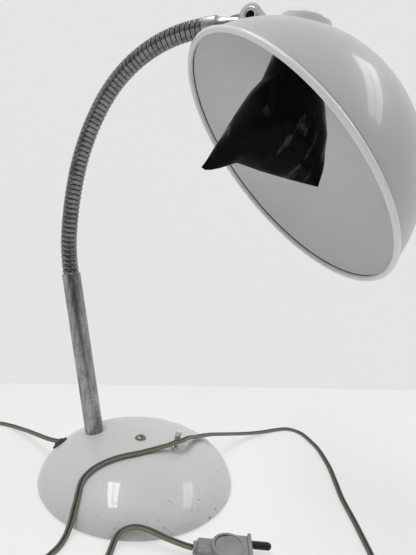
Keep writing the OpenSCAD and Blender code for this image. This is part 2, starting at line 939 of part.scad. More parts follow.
cord_far_route = [
  [-195.5, -83, 4.2], [-186, -84.4, 3.2], [-176, -87.3, 2.1], [-166, -91.8, cord_lift],
  [-154, -98.5, cord_lift], [-138, -109.5, cord_lift], [-118, -121.5, cord_lift],
  [-95, -132.5, cord_lift], [-67, -142.5, cord_lift], [-38, -149.5, cord_lift], [-10, -151, cord_lift],
  [22, -150.8, cord_lift], [52, -148, cord_lift], [82, -141, cord_lift], [114, -128, cord_lift],
  [146, -109, cord_lift], [176, -84, cord_lift], [198, -60, cord_lift], [213, -40, cord_lift],
  [222, -25, cord_lift], [226.5, -12, cord_lift], [227.3, 0, cord_lift], [224.7, 10.8, cord_lift],
  [219.5, 21.5, cord_lift], [213.5, 33.5, cord_lift], [204, 52, cord_lift], [190, 78, cord_lift],
  [179, 104, cord_lift], [167, 131, cord_lift], [150, 160, cord_lift], [137, 175, cord_lift],
  [124, 187, cord_lift], [113, 191, cord_lift], [102, 189, cord_lift], [91, 178, cord_lift],
  [80, 160, 3], [69, 141, 6], [61, 122, 11], [53, 97, 19], [47, 71, 28], [43.5, 50, 34.5],
  [43, 36, 39], [42, 27, 42.5], [43, 16, 46.5], [43.2, 7, 48.4], [38.5, 0.5, 47.8], [33, -4, 45],
  [27, -9, 43], [20, -17, 41.4], [14, -26, 41.1], [7.5, -34, 40.7], [2, -41, 39.8], [-3, -48, 38.4],
  [-7, -55, 36.6], [-10, -62, 34.4], [-11.5, -69, 31.2], [-11, -75, 27.8], [-8.5, -80.5, 24.2],
  [-6, -85.5, 20.4], [-3.5, -91.5, 15.4], [-1, -97, 10.4], [1, -103.5, 5], [2.5, -109, 2.8],
  [3.8, -116, 1.6], [4.2, -124, cord_lift], [4.8, -131.5, cord_lift], [8.5, -138, cord_lift],
  [15.5, -142, cord_lift], [24, -143, cord_lift], [32.5, -141, cord_lift], [39.5, -135.5, cord_lift],
  [43.5, -128, cord_lift], [44.2, -118, cord_lift], [43.2, -109.5, 1.6], [41.5, -102.5, 2],
  [39.5, -95.5, 4.2], [39, -91, 7], [40.5, -87, 10.4], [45, -83, 13.2], [51, -80, 14.6],
  [58.5, -77.5, 14.2], [67, -75.5, 12.6], [75.5, -74, 10.9], [84, -71.8, 9.4], [91.5, -69.6, 8],
  [96.2, -68, 7.5]];

module cord_far() {
  color(cord_grey)
    swept_cord(cord_far_route, cord_w, lead_t);
}

coil_x = -216;
coil_y = -47;
coil_thick = 5.8;
module cord_coil() {
  half = 8.5;
  color(cord_grey)
    translate([coil_x, coil_y, 0])
      rotate_extrude()
        translate([coil_d / 2 - half, 0])
          square([2 * half, coil_thick]);
}

module coil_tie() {
  half = 8.5;
  color(dark_felt)
    translate([coil_x + coil_d / 2, coil_y, 0])
      rotate([90, 0, 0])
        translate([0, 0, -3])
          linear_extrude(6)
            difference() {
              translate([-half - 1.2, 0])
                square([2 * half + 2.4, coil_thick + 1.2]);
              translate([-half - clear, -1])
                square([2 * (half + clear), coil_thick + 1.2]);
            }
}

// ================= Plug =================
plug_start = [97.4, -67.5, 7.5];
plug_dir = 24.2;
plug_r = 13.5;
plug_h = 13.5;
body_len = 45.5;
pin_r = 3.1;
pin_gap = 19;
module at_plug() {
  translate([plug_start[0], plug_start[1], 0])
    rotate([0, 0, plug_dir])
      children();
}
boss_x = 26.5;
cover_z = 11.6;

// Flat body in plan: a narrow neck, a round boss and a square front
module plug_plan(grow = 0) {
  union() {
    translate([boss_x, 0])
      circle(r = plug_r + grow);
    translate([2, -8 - grow])
      square([boss_x - 2, 16 + 2 * grow]);
    translate([boss_x, -plug_r - grow])
      square([body_len - boss_x + grow, 2 * plug_r + 2 * grow]);
  }
}

module plug_body() {
  color(enamel)
    at_plug()
      difference() {
        union() {
          linear_extrude(cover_z)
            plug_plan();
          translate([body_len - 3, -plug_r - 1, 0])
            cube([3, 2 * plug_r + 2, plug_h + 0.6]);
        }
        translate([boss_x, 0, -1])
          cylinder(r = 2.1, h = cover_z + 2);
        translate([boss_x, 0, -1])
          cylinder(r = 4, h = 4);
        for (side = [-1, 1])
          translate([body_len - 9, side * pin_gap / 2, 7.5])
            rotate([0, 90, 0])
              cylinder(r = pin_r + running, h = 20);
        translate([1, 0, 7.5])
          rotate([0, 90, 0])
            cylinder(r = 3.1, h = 12);
      }
}

module plug_cover() {
  color(enamel)
    at_plug()
      translate([0, 0, cover_z])
        difference() {
          union() {
            translate([boss_x, 0, 0])
              cylinder(r = plug_r, h = plug_h - cover_z);
            translate([boss_x, -plug_r + 1, 0])
              cube([body_len - 3 - running - boss_x, 2 * plug_r - 2, plug_h - cover_z - 0.6]);
          }
          translate([boss_x, 0, -1])
            cylinder(r = 1.5 + running, h = 2);
        }
}

module plug_screw() {
  color(brass)
    at_plug()
      translate([boss_x, 0, 0.8])
        union() {
          cylinder(r = 3.4, h = 2.2);
          cylinder(r = 1.5, h = cover_z + 1 - 0.8);
        }
}

module plug_pins() {
  pin_out = 17;
  color(iron)
    at_plug()
      for (side = [-1, 1])
        translate([body_len - 9, side * pin_gap / 2, 7.5])
          rotate([0, 90, 0])
            union() {
              cylinder(r = pin_r, h = 9 + pin_out - pin_r);
              translate([0, 0, 9 + pin_out - pin_r])
                sphere(r = pin_r);
            }
}

module plug_collar() {
  color(dark_felt)
    at_plug()
      translate([-1, 0, 7.5])
        rotate([0, 90, 0])
          difference() {
            cylinder(r = 5, h = 3);
            translate([0, 0, -1])
              cylinder(r = cord_w / 2 + clear, h = 5);
          }
}

base_shell();
bottom_plate();
ballast();
felt_pad();
centre_bolt();
spacer_tube();
bolt_nut();
stem_tube();
stem_nipple();
stem_washer();
stem_nut();
grommet();
cord_clip();
switch_body();
switch_nut();
switch_spring();
switch_button();
base_lead();
neck_link(0);  // neck_link_00
neck_link(1);  // neck_link_01
neck_link(2);  // neck_link_02
neck_link(3);  // neck_link_03
neck_link(4);  // neck_link_04
neck_link(5);  // neck_link_05
neck_link(6);  // neck_link_06
neck_link(7);  // neck_link_07
neck_link(8);  // neck_link_08
neck_link(9);  // neck_link_09
neck_link(10);  // neck_link_10
neck_link(11);  // neck_link_11
neck_link(12);  // neck_link_12
neck_ferrule();
tilt_pivot();
friction_washers();
shade_bracket();
holder_cap();
holder_nipple();
nipple_nut();
holder_body();
thread_shell();
centre_contact();
bulb_cap();
bulb_glass();
film_wrap();
shade();
cord_near();
cord_far();
cord_coil();
coil_tie();
plug_body();
plug_cover();
plug_pins();
plug_screw();
plug_collar();
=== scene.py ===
"""Visible pieces of a gooseneck desk lamp, built over its jointed frame.

Everything is in metres in the frame's own axes: the lamp stands on z = 0, the neck bends in the
plane y = ARM_Y, and +Z is up. Lengths in tables that end in _MM are millimetres.
"""

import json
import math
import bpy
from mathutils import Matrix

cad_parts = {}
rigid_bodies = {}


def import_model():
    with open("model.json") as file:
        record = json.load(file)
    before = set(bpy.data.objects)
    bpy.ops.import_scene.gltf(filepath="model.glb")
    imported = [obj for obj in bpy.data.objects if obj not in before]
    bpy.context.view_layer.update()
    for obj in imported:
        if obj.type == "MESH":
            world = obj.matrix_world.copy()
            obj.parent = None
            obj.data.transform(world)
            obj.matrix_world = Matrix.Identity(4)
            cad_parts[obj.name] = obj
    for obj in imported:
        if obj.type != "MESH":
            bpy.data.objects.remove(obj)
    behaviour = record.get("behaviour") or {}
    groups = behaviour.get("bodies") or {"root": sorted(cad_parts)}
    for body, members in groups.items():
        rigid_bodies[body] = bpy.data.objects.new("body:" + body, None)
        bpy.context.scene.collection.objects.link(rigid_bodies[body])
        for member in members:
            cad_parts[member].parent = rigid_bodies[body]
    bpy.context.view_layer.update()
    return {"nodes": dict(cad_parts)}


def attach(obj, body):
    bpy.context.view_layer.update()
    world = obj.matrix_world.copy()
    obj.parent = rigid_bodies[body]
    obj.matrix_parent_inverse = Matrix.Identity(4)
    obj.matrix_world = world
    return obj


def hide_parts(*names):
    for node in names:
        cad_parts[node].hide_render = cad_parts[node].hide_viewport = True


bl_info = {
    "name": "Gooseneck Desk Lamp",
    "version": (1, 0, 0),
    "blender": (4, 5, 0),
    "location": "View3D > Sidebar > Desk Lamp",
    "description": "Builds the visible pieces of a gooseneck desk lamp on its jointed frame",
    "category": "Add Mesh",
}

import bmesh
import bpy
import numpy as np
from mathutils import Matrix
from bpy.props import FloatProperty, FloatVectorProperty, IntProperty, PointerProperty

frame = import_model()

MM = 0.001
TAU = 2 * math.pi
ARM_Y = -8.5 * MM                       # plane of the stem and neck
DOME_PLAN, DOME_SIDE = 2.7, 1.75        # powers of the dome's superellipse, for r and for z
BOWL_POWER = 1.7                        # power of the shade's profile
SEAT_DROP = 0.7 * MM                    # depth of the flat seats pressed into the dome
SHELL_T = 1.5 * MM                      # thickness of the dome
RINGS_PER_LINK, NECK_LINKS = 5, 12
NECK_ARCS = (                           # length in millimetres, bend in degrees
    (40, 14.6), (60, 11.3), (70, 19.9), (70, 32.1), (50, 23.0))
STRIP_DEPTH = 2.15 * MM                 # from the outside of the wound strip to its bore
EYE_HOLE = 4.45 * MM                    # hole for the rivet in the tongue and ears
EAR_REACH, EAR_RISE = 43.1 * MM, 2.9 * MM   # rivet, seen from the foot of the lampholder's axis
STRAP_UNDER = -0.95 * MM                # underside of the strap and of the cap's edge
SWITCH_AT = (35 * MM, 9 * MM)
GROMMET_AT = (-79.8 * MM, -24.2 * MM)


# ---------------------------------------------------------------- sizes and finishes

def length(label, default, words):
    """A length property in metres, given here in millimetres."""
    return FloatProperty(name=label, default=default * MM, unit="LENGTH", precision=4,
                         min=0.0, description=words)


def tint(label, default, words):
    """A colour property, linear RGB."""
    return FloatVectorProperty(name=label, default=default, subtype="COLOR", size=3,
                               min=0.0, max=1.0, description=words)


class LampSizes(bpy.types.PropertyGroup):
    """Sizes that the visible pieces share"""
    base_radius: length("Base radius", 95, "Radius of the pressed steel dome")
    base_height: length("Base height", 40, "Height of the dome above the table")
    stem_radius: length("Stem radius", 9, "Outer radius of the leaning tube")
    stem_length: length("Stem length", 163, "Length of the leaning tube from the dome")
    stem_foot_x: length("Stem foot", 49.8, "Distance of the stem's foot behind the middle")
    neck_radius: length("Neck radius", 7.75, "Outer radius of the wound strip")
    ring_pitch: length("Strip pitch", 4.75, "Advance of the wound strip per turn")
    groove: length("Strip groove", 0.80, "Width of the gap between two turns")
    shade_radius: length("Shade radius", 115.1, "Radius of the bowl at its rim")
    shade_depth: length("Shade depth", 102.5, "Depth of the bowl")
    bead_radius: length("Bead radius", 2.3, "Radius of the rolled bead on the rim")
    cap_radius: length("Cap radius", 19.5, "Radius of the round cap on the shade")
    cap_height: length("Cap height", 8.0, "Height of the round cap")
    cord_width: length("Cord width", 5.6, "Width of the flat twin cord")
    coil_radius: length("Coil radius", 30, "Mean radius of the coiled spare cord")
    button_radius: length("Button radius", 3.1, "Radius of the push button")
    button_top: length("Button height", 17.5, "Height of the button above the dome")
    stem_lean: FloatProperty(name="Stem lean", default=math.radians(14.7), subtype="ANGLE",
                             description="How far the stem leans back from the vertical")
    head_tilt: FloatProperty(name="Head tilt", default=math.radians(7.5), subtype="ANGLE",
                             description="Lean of the lampholder's axis")
    shade_turn: FloatProperty(name="Shade turn", default=math.radians(47.9), subtype="ANGLE",
                              description="Turn of the shade about the lampholder")
    base_sides: IntProperty(name="Dome columns", default=360, min=48, max=512,
                            description="Columns of the dome's surface grid")


class LampFinishes(bpy.types.PropertyGroup):
    """Colours of the finishes, linear RGB"""
    # The rim's bead and the cap wear a paler copy of this paint: painted light.
    enamel: tint("Grey enamel", (0.60, 0.61, 0.605), "Paint of the base, paler on rim and cap")
    # The same enamel as the base's, made darker on the shade: painted shade.
    shade: tint("Shade enamel", (0.47, 0.475, 0.465), "Paint outside the shade")
    enamel_inside: tint("Inner enamel", (0.80, 0.80, 0.785), "Paint inside the shade")
    plating: tint("Worn plating", (0.37, 0.365, 0.355), "Plating of the stem")
    strip: tint("Wound strip", (0.23, 0.226, 0.218), "Metal of the wound neck")
    tarnish: tint("Tarnish", (0.10, 0.09, 0.08), "Dirt in the grooves and worn places")
    nickel: tint("Nickel", (0.74, 0.72, 0.67), "Nuts, rivet and screw")
    brass: tint("Brass", (0.66, 0.46, 0.17), "Turned brass parts")
    rubber: tint("Rubber", (0.035, 0.034, 0.033), "Grommet, collar and felt edge")
    cord: tint("Cord", (0.125, 0.12, 0.10), "Skin of the twin cord")
    film: tint("Film", (0.002, 0.0025, 0.003), "Black film over the bulb")
    ivory: tint("Button", (0.72, 0.71, 0.68), "Cap of the push button")
    plug: tint("Plug", (0.235, 0.243, 0.239), "Moulded plug")


# ---------------------------------------------------------------- placing

def shift(x, y, z):
    """4 x 4 move."""
    m = np.eye(4)
    m[:3, 3] = (x, y, z)
    return m


def turn(axis, angle):
    """4 x 4 right-handed turn about X, Y or Z by an angle in radians."""
    c, s = math.cos(angle), math.sin(angle)
    i, j = {"X": (1, 2), "Y": (2, 0), "Z": (0, 1)}[axis]
    m = np.eye(4)
    m[i, i] = m[j, j] = c
    m[i, j], m[j, i] = -s, s
    return m


def carry(m, points):
    """Points moved by a 4 x 4 matrix."""
    return points @ m[:3, :3].T + m[:3, 3]


def ease(x, low, high):
    """Smooth step from 0 at low to 1 at high."""
    t = np.clip((x - low) / (high - low), 0, 1)
    return t * t * (3 - 2 * t)


def dome_height(r, s):
    """Superellipse (r / R)^2.7 + (z / H)^1.75 = 1, solved for z."""
    q = np.clip(np.abs(r) / s.base_radius, 0, 1)
    return s.base_height * (1 - q ** DOME_PLAN) ** (1 / DOME_SIDE)


def dome_lean(r, s):
    """Angle of the dome's normal from the vertical at radius r, from the slope of its profile."""
    q = r / s.base_radius
    fall = (s.base_height / DOME_SIDE * (1 - q ** DOME_PLAN) ** (1 / DOME_SIDE - 1)
            * DOME_PLAN * q ** (DOME_PLAN - 1))
    return math.atan(fall / s.base_radius)


def on_dome(x, y, s):
    """Place on the dome at x, y with +Z along its normal."""
    r = math.hypot(x, y)
    return (shift(x, y, float(dome_height(r, s))) @ turn("Z", math.atan2(y, x))
            @ turn("Y", dome_lean(r, s)))


def neck_line(along, s):
    """Centre line of the neck: five circular arcs in a row, straight below the first, the last
    one running on. Gives points and headings (angle from +X) for an array of arc lengths."""
    a0 = math.radians(90) + s.stem_lean
    foot = stem_frame(s) @ np.array([0, 0, s.stem_length, 1.0])
    below = np.minimum(along, 0)
    x = foot[0] + below * math.cos(a0)
    z = foot[2] + below * math.sin(a0)
    heading = np.full_like(x, a0)
    a, start = a0, 0.0
    for i, (arc, bend) in enumerate(NECK_ARCS):
        run = arc * MM
        k = math.radians(bend) / run
        t = np.clip(along - start, 0, None if i == len(NECK_ARCS) - 1 else run)
        x = x + (math.sin(a) - np.sin(a - k * t)) / k
        z = z + (np.cos(a - k * t) - math.cos(a)) / k
        heading = heading - k * t
        a -= math.radians(bend)
        start += run
    return np.stack([x, np.full_like(x, ARM_Y), z], -1), heading


def neck_frame(along, s):
    """Place on the neck's centre line with +Z along it and +X on its inner side."""
    p, a = neck_line(np.array([along]), s)
    return shift(*p[0]) @ turn("Y", math.pi / 2 - a[0])


def stem_frame(s):
    """The stem's foot, +Z along the tube."""
    z = float(dome_height(math.hypot(s.stem_foot_x, ARM_Y), s))
    return shift(-s.stem_foot_x, ARM_Y, z) @ turn("Y", -s.stem_lean)


def neck_end(s):
    """Length along the neck's centre line at which the ferrule starts."""
    return (NECK_LINKS * RINGS_PER_LINK + 1) * s.ring_pitch


def pivot_point(s):
    """Centre of the rivet at the end of the ferrule."""
    end = neck_frame(neck_end(s), s)
    return (end @ np.array([-1.9 * MM, 0, 42 * MM, 1.0]))[:3]


def pivot_frame(s):
    """Centre of the rivet, +Z along its axis (towards -Y of the frame)."""
    return shift(*pivot_point(s)) @ turn("X", math.pi / 2)


def holder_frame(s):
    """Where the lampholder's axis meets the bowl, +Z up that axis."""
    x, _, z = pivot_point(s)
    c, d = math.cos(s.head_tilt), math.sin(s.head_tilt)
    return (shift(x + EAR_REACH * c - EAR_RISE * d, ARM_Y, z - EAR_REACH * d - EAR_RISE * c)
            @ turn("Y", s.head_tilt))


def bowl_point(t, radius, depth):
    """Bowl profile (R cos t, D sin(t)^(2 / 1.7)) for t from the rim (0) to the pole (pi / 2)."""
    return radius * np.cos(t), depth * np.sin(t) ** (2 / BOWL_POWER)


def shade_frame(s):
    """Centre of the shade's rim, +Z along the bowl's axis to its pole."""
    t = math.radians(48.1)
    r, z = bowl_point(t, s.shade_radius, s.shade_depth)
    dz = s.shade_depth * 2 / BOWL_POWER * math.sin(t) ** (2 / BOWL_POWER - 1) * math.cos(t)
    hang = math.atan2(dz, s.shade_radius * math.sin(t))
    return (holder_frame(s) @ turn("Z", math.pi + s.shade_turn) @ turn("Y", -hang)
            @ shift(-r, 0, -z))


# ---------------------------------------------------------------- surfaces

def lattice(rows, cols):
    """Quads of an open rows x cols lattice; rows run up a profile, columns round it."""
    i, j = np.meshgrid(np.arange(rows - 1), np.arange(cols - 1), indexing="ij")
    a = (i * cols + j).ravel()
    return np.stack([a, a + 1, a + 1 + cols, a + cols], -1)


def surface(points, coat=0, uv=None):
    """A surface from a rows x cols x 3 grid of points, with the coat its faces wear."""
    rows, cols = points.shape[:2]
    if uv is None:
        u, v = np.meshgrid(np.linspace(0, 1, rows), np.linspace(0, 1, cols), indexing="ij")
        uv = np.stack([u, v], -1)
    return points.reshape(-1, 3), lattice(rows, cols), coat, uv.reshape(-1, 2)


def turned(profile, sides=96, coat=0):
    """Surface of revolution: profile rows (r, z) carried round +Z.
    Point = (r cos a, r sin a, z); a profile that runs anticlockwise faces outwards."""
    p = np.asarray(profile, float)
    a = np.linspace(0, TAU, sides + 1)
    grid = np.stack([np.outer(p[:, 0], np.cos(a)), np.outer(p[:, 0], np.sin(a)),
                     np.repeat(p[:, 1:2], sides + 1, 1)], -1)
    return surface(grid, coat)


def placed(m, part):
    """A surface moved by a 4 x 4 matrix."""
    return (carry(m, part[0]),) + part[1:]


def arc(cx, cy, r, start, end, steps=6):
    """Points on a circle, angles in degrees."""
    a = np.radians(np.linspace(start, end, steps + 1))
    return np.stack([cx + r * np.cos(a), cy + r * np.sin(a)], -1)


def ring(profile):
    """The profile with its first point again at the end."""
    p = np.vstack([np.atleast_2d(q) for q in profile])
    return np.vstack([p, p[:1]])


def polar(a, rows):
    """Surface from rows of (radius at each angle a, height): (r cos a, r sin a, z)."""
    return surface(np.stack([np.stack([r * np.cos(a), r * np.sin(a), np.full_like(a, z)], -1)
                             for r, z in rows]))


def eye_plate(reach, half, bevel, sides=144):
    """Flat plate round the rivet's hole, +Z through the hole: its edge is the polar curve
    reach(a), and its rows go up the hole, out over the top, down the bevelled edge and back
    underneath."""
    a = np.linspace(0, TAU, sides + 1)
    out = reach(a)
    inn = np.full_like(a, EYE_HOLE)
    rows = [(inn, -half), (inn, half), (out - bevel, half), (out - 0.3 * bevel, half - 0.3 * bevel),
            (out, half - bevel), (out, bevel - half), (out - 0.3 * bevel, 0.3 * bevel - half),
            (out - bevel, -half), (inn, -half)]
    return polar(a, rows[::-1])


def reach_of(shapes, a, far=0.07):
    """Polar edge of a union of shapes: the furthest point in each direction that lies in one.
    Each shape is a function of x, y arrays that is true inside."""
    r = np.linspace(0, far, 701)[:, None]
    x, y = r * np.cos(a), r * np.sin(a)
    inside = np.any([shape(x, y) for shape in shapes], 0)
    return np.max(np.where(inside, r, 0), 0)


def smooth_line(points, step):
    """Catmull-Rom curve through points, resampled at even arc lengths of about step."""
    p = np.asarray(points, float)
    p = np.vstack([2 * p[0] - p[1], p, 2 * p[-1] - p[-2]])
    t = np.linspace(0, 1, 17)[:-1, None]
    a, b, c, d = (p[i:len(p) - 3 + i, None, :] for i in range(4))
    q = 0.5 * (2 * b + (c - a) * t + (2 * a - 5 * b + 4 * c - d) * t ** 2
               + (3 * b - a - 3 * c + d) * t ** 3)
    q = np.vstack([q.reshape(-1, 3), p[-2]])
    run = np.concatenate([[0], np.cumsum(np.linalg.norm(np.diff(q, axis=0), axis=1))])
    even = np.linspace(0, run[-1], max(int(run[-1] / step), 2) + 1)
    return np.stack([np.interp(even, run, q[:, i]) for i in range(3)], -1), even


def swept(line, even, section, up):
    """A closed section carried along a line. Section x goes to the side of the line, level with
    the ground where up is vertical, and section y to its top."""
    t = np.gradient(line, axis=0)
    t /= np.linalg.norm(t, axis=1, keepdims=True)
    side = np.cross(t, up)
    side /= np.linalg.norm(side, axis=1, keepdims=True)
    top = np.cross(side, t)
    sec = np.vstack([section, section[:1]])
    grid = (line[:, None, :] + side[:, None, :] * sec[None, :, :1]
            + top[:, None, :] * sec[None, :, 1:])
    around = np.linspace(0, 1, len(sec))
    uv = np.stack(np.broadcast_arrays(even[:, None], around[None, :]), -1)
    return surface(grid, 0, uv)


def end_cap(middle, last_row, tip):
    """A fan that closes the end of a swept piece: its last row drawn in to the middle, with
    the middle pushed out by tip."""
    k = np.linspace(0, 1, 4)[:, None, None]
    return surface(last_row[None] * (1 - k) + middle * k + tip * np.sin(k * math.pi / 2))


def make_piece(name, parts, coats, body, replaces, crease=35, recalc=True,
               weld=1e-6):
    """One mesh out of several surfaces. Seams and poles are welded, closed shells are turned
    to face outwards, edges sharper than crease degrees stay sharp, and the piece rides on a
    body of the frame in place of the nodes it replaces."""
    points, faces, coat, uvs, base = [], [], [], [], 0
    for p, q, c, uv in parts:
        points.append(p)
        faces.append(q + base)
        coat.append(np.full(len(q), c))
        uvs.append(uv)
        base += len(p)
    points, faces = np.vstack(points), np.vstack(faces)
    mesh = bpy.data.meshes.new(name)
    mesh.vertices.add(len(points))
    mesh.vertices.foreach_set("co", points.ravel())
    mesh.loops.add(faces.size)
    mesh.loops.foreach_set("vertex_index", faces.ravel())
    mesh.polygons.add(len(faces))
    mesh.polygons.foreach_set("loop_start", np.arange(len(faces)) * 4)
    mesh.polygons.foreach_set("material_index", np.concatenate(coat).astype(np.int32))
    layer = mesh.uv_layers.new(name="along")
    layer.data.foreach_set("uv", np.vstack(uvs)[faces.ravel()].ravel())
    mesh.update(calc_edges=True)
    work = bmesh.new()
    work.from_mesh(mesh)
    bmesh.ops.remove_doubles(work, verts=work.verts, dist=weld)
    bmesh.ops.dissolve_degenerate(work, edges=work.edges, dist=weld)
    if recalc:
        bmesh.ops.recalc_face_normals(work, faces=work.faces)
    work.to_mesh(mesh)
    work.free()
    mesh.polygons.foreach_set("use_smooth", np.ones(len(mesh.polygons), dtype=bool))
    mesh.set_sharp_from_angle(angle=math.radians(crease))
    for m in coats:
        mesh.materials.append(m)
    piece = bpy.data.objects.new(name, mesh)
    bpy.context.scene.collection.objects.link(piece)
    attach(piece, body)
    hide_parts(*replaces)
    return piece


# ---------------------------------------------------------------- finishes

def new_group(name, inputs):
    """An empty shader group with named float or vector inputs and one output, its mask."""
    g = bpy.data.node_groups.new(name, "ShaderNodeTree")
    for label, default in inputs:
        plain = isinstance(default, float)
        sock = g.interface.new_socket(
            label, in_out="INPUT", socket_type="NodeSocketFloat" if plain else "NodeSocketVector")
        if default is not None:
            sock.default_value = default
    g.interface.new_socket("Mask", in_out="OUTPUT", socket_type="NodeSocketFloat")
    return g, g.nodes.new("NodeGroupInput").outputs, g.nodes.new("NodeGroupOutput").inputs[0]


def node(tree, kind, links=(), **values):
    """A node with attributes and input values set; links are (input, source socket)."""
    n = tree.nodes.new(kind)
    for key, value in values.items():
        if key.startswith("in_"):
            index = int(key[3:]) if key[3:].isdigit() else key[3:].replace("_", " ")
            n.inputs[index].default_value = value
        else:
            setattr(n, key, value)
    for target, source in links:
        tree.links.new(source, n.inputs[target])
    return n


def noise_mask(g, vector, scale, low, high, mask, **values):
    """Noise over a vector, spread so that it is 0 up to low and 1 from high, as the mask."""
    n = node(g, "ShaderNodeTexNoise", [("Vector", vector), ("Scale", scale)], **values)
    m = node(g, "ShaderNodeMapRange", [("Value", n.outputs[0]), ("From Min", low),
                                       ("From Max", high)])
    g.links.new(m.outputs[0], mask)


def sparse(g, amount, top, width):
    """Low and high of a mask that only the peaks of the noise reach: top - amount, and
    width above it."""
    low = node(g, "ShaderNodeMath", [(1, amount)], operation="SUBTRACT", in_0=top).outputs[0]
    return low, node(g, "ShaderNodeMath", [(0, low)], operation="ADD", in_1=width).outputs[0]


def build_groups():
    """Shared effects: specks, scratches, blotches and run-along streaks, each a mask 0 to 1."""
    g, i, mask = new_group("specks", (("Vector", None), ("Scale", 400.0), ("Amount", 0.3)))
    noise_mask(g, i[0], i[1], *sparse(g, i[2], 0.86, 0.06), mask, in_Detail=3.0,
               in_Roughness=0.6)

    g, i, mask = new_group("scratches", (("Vector", None), ("Scale", 60.0), ("Turn", 0.6),
                                         ("Amount", 0.3)))
    turned_by = node(g, "ShaderNodeVectorRotate", [("Vector", i[0]), ("Angle", i[2])],
                     rotation_type="AXIS_ANGLE", in_Axis=(0.3, 0.5, 0.8))
    drawn = node(g, "ShaderNodeVectorMath", [(0, turned_by.outputs[0])], operation="MULTIPLY",
                 in_1=(1.0, 22.0, 9.0))
    noise_mask(g, drawn.outputs[0], i[1], *sparse(g, i[3], 0.88, 0.04), mask, in_Detail=2.0,
               in_Distortion=0.4)

    g, i, mask = new_group("blotches", (("Vector", None), ("Scale", 20.0), ("Low", 0.4),
                                        ("High", 0.6)))
    noise_mask(g, i[0], i[1], i[2], i[3], mask, in_Detail=6.0, in_Roughness=0.62,
               in_Distortion=0.3)

    g, i, mask = new_group("streaks", (("Vector", None), ("Stretch", (1.0, 1.0, 0.06)),
                                       ("Scale", 200.0), ("Low", 0.4), ("High", 0.65)))
    drawn = node(g, "ShaderNodeVectorMath", [(0, i[0]), (1, i[1])], operation="MULTIPLY")
    noise_mask(g, drawn.outputs[0], i[2], i[3], i[4], mask, in_Detail=4.0, in_Roughness=0.6)


def shade_of(colour, factor, lift=0.0):
    """A colour times a factor, plus a lift, no brighter than white."""
    return [min(1.0, factor * c + lift) for c in colour]


class Finish:
    """A node material in the making: effect masks mixed into colour, roughness and bump."""

    def __init__(self, name, colour, roughness, metallic=0.0, coat=0.0, coat_roughness=0.05,
                 spec=0.5):
        self.material = bpy.data.materials.new(name)
        self.material.use_nodes = True
        self.tree = self.material.node_tree
        self.shader = self.tree.nodes["Principled BSDF"]
        for label, value in (("Metallic", metallic), ("Coat Weight", coat),
                             ("Coat Roughness", coat_roughness), ("Specular IOR Level", spec)):
            self.shader.inputs[label].default_value = value
        self.colour = tuple(colour) + (1.0,)
        self.rough = roughness
        self.bump = None
        self.place = node(self.tree, "ShaderNodeTexCoord").outputs["Object"]
        self.along = None

    def feed(self, socket, value):
        """Sets a socket to a plain value, or links it to the output of a node."""
        if isinstance(value, bpy.types.NodeSocket):
            self.tree.links.new(value, socket)
        else:
            socket.default_value = value

    def effect(self, group, vector=None, **values):
        """One of the shared groups with its own values; gives its mask."""
        n = self.tree.nodes.new("ShaderNodeGroup")
        n.node_tree = bpy.data.node_groups[group]
        self.tree.links.new(vector or self.place, n.inputs["Vector"])
        for key, value in values.items():
            n.inputs[key].default_value = value
        return n.outputs[0]

    def strip(self):
        """The piece's own UV map: u along it in metres, v round it from 0 to 1."""
        if self.along is None:
            self.along = node(self.tree, "ShaderNodeUVMap", uv_map="along").outputs[0]
        return self.along

    def scaled(self, vector, x, y):
        """A flat vector multiplied by two factors."""
        return node(self.tree, "ShaderNodeVectorMath", [(0, vector)], operation="MULTIPLY",
                    in_1=(x, y, 0.0)).outputs[0]

    def share(self, mask, factor):
        """A mask times a number."""
        return node(self.tree, "ShaderNodeMath", [(0, mask)], operation="MULTIPLY",
                    in_1=factor).outputs[0]

    def both(self, one, other):
        """Two masks multiplied."""
        return node(self.tree, "ShaderNodeMath", [(0, one), (1, other)],
                    operation="MULTIPLY").outputs[0]

    def paint(self, mask, colour, strength=1.0):
        """Mixes a colour in where the mask is."""
        mix = node(self.tree, "ShaderNodeMix", data_type="RGBA")
        self.tree.links.new(self.share(mask, strength), mix.inputs[0])
        self.feed(mix.inputs[6], self.colour)
        mix.inputs[7].default_value = tuple(colour) + (1.0,)
        self.colour = mix.outputs[2]
        return self

    def roughen(self, mask, by):
        """Adds to the roughness where the mask is."""
        add = node(self.tree, "ShaderNodeMath", operation="MULTIPLY_ADD", use_clamp=True,
                   in_1=by)
        self.tree.links.new(mask, add.inputs[0])
        self.feed(add.inputs[2], self.rough)
        self.rough = add.outputs[0]
        return self

    def dent(self, mask, depth):
        """Adds a relief of the given depth in metres, positive outwards."""
        b = node(self.tree, "ShaderNodeBump", in_Distance=abs(depth), invert=depth < 0)
        self.tree.links.new(mask, b.inputs["Height"])
        if self.bump is not None:
            self.tree.links.new(self.bump, b.inputs["Normal"])
        self.bump = b.outputs[0]
        return self

    def done(self):
        """Links what was gathered to the shader."""
        self.feed(self.shader.inputs["Base Color"], self.colour)
        self.feed(self.shader.inputs["Roughness"], self.rough)
        if self.bump is not None:
            self.tree.links.new(self.bump, self.shader.inputs["Normal"])
        return self.material


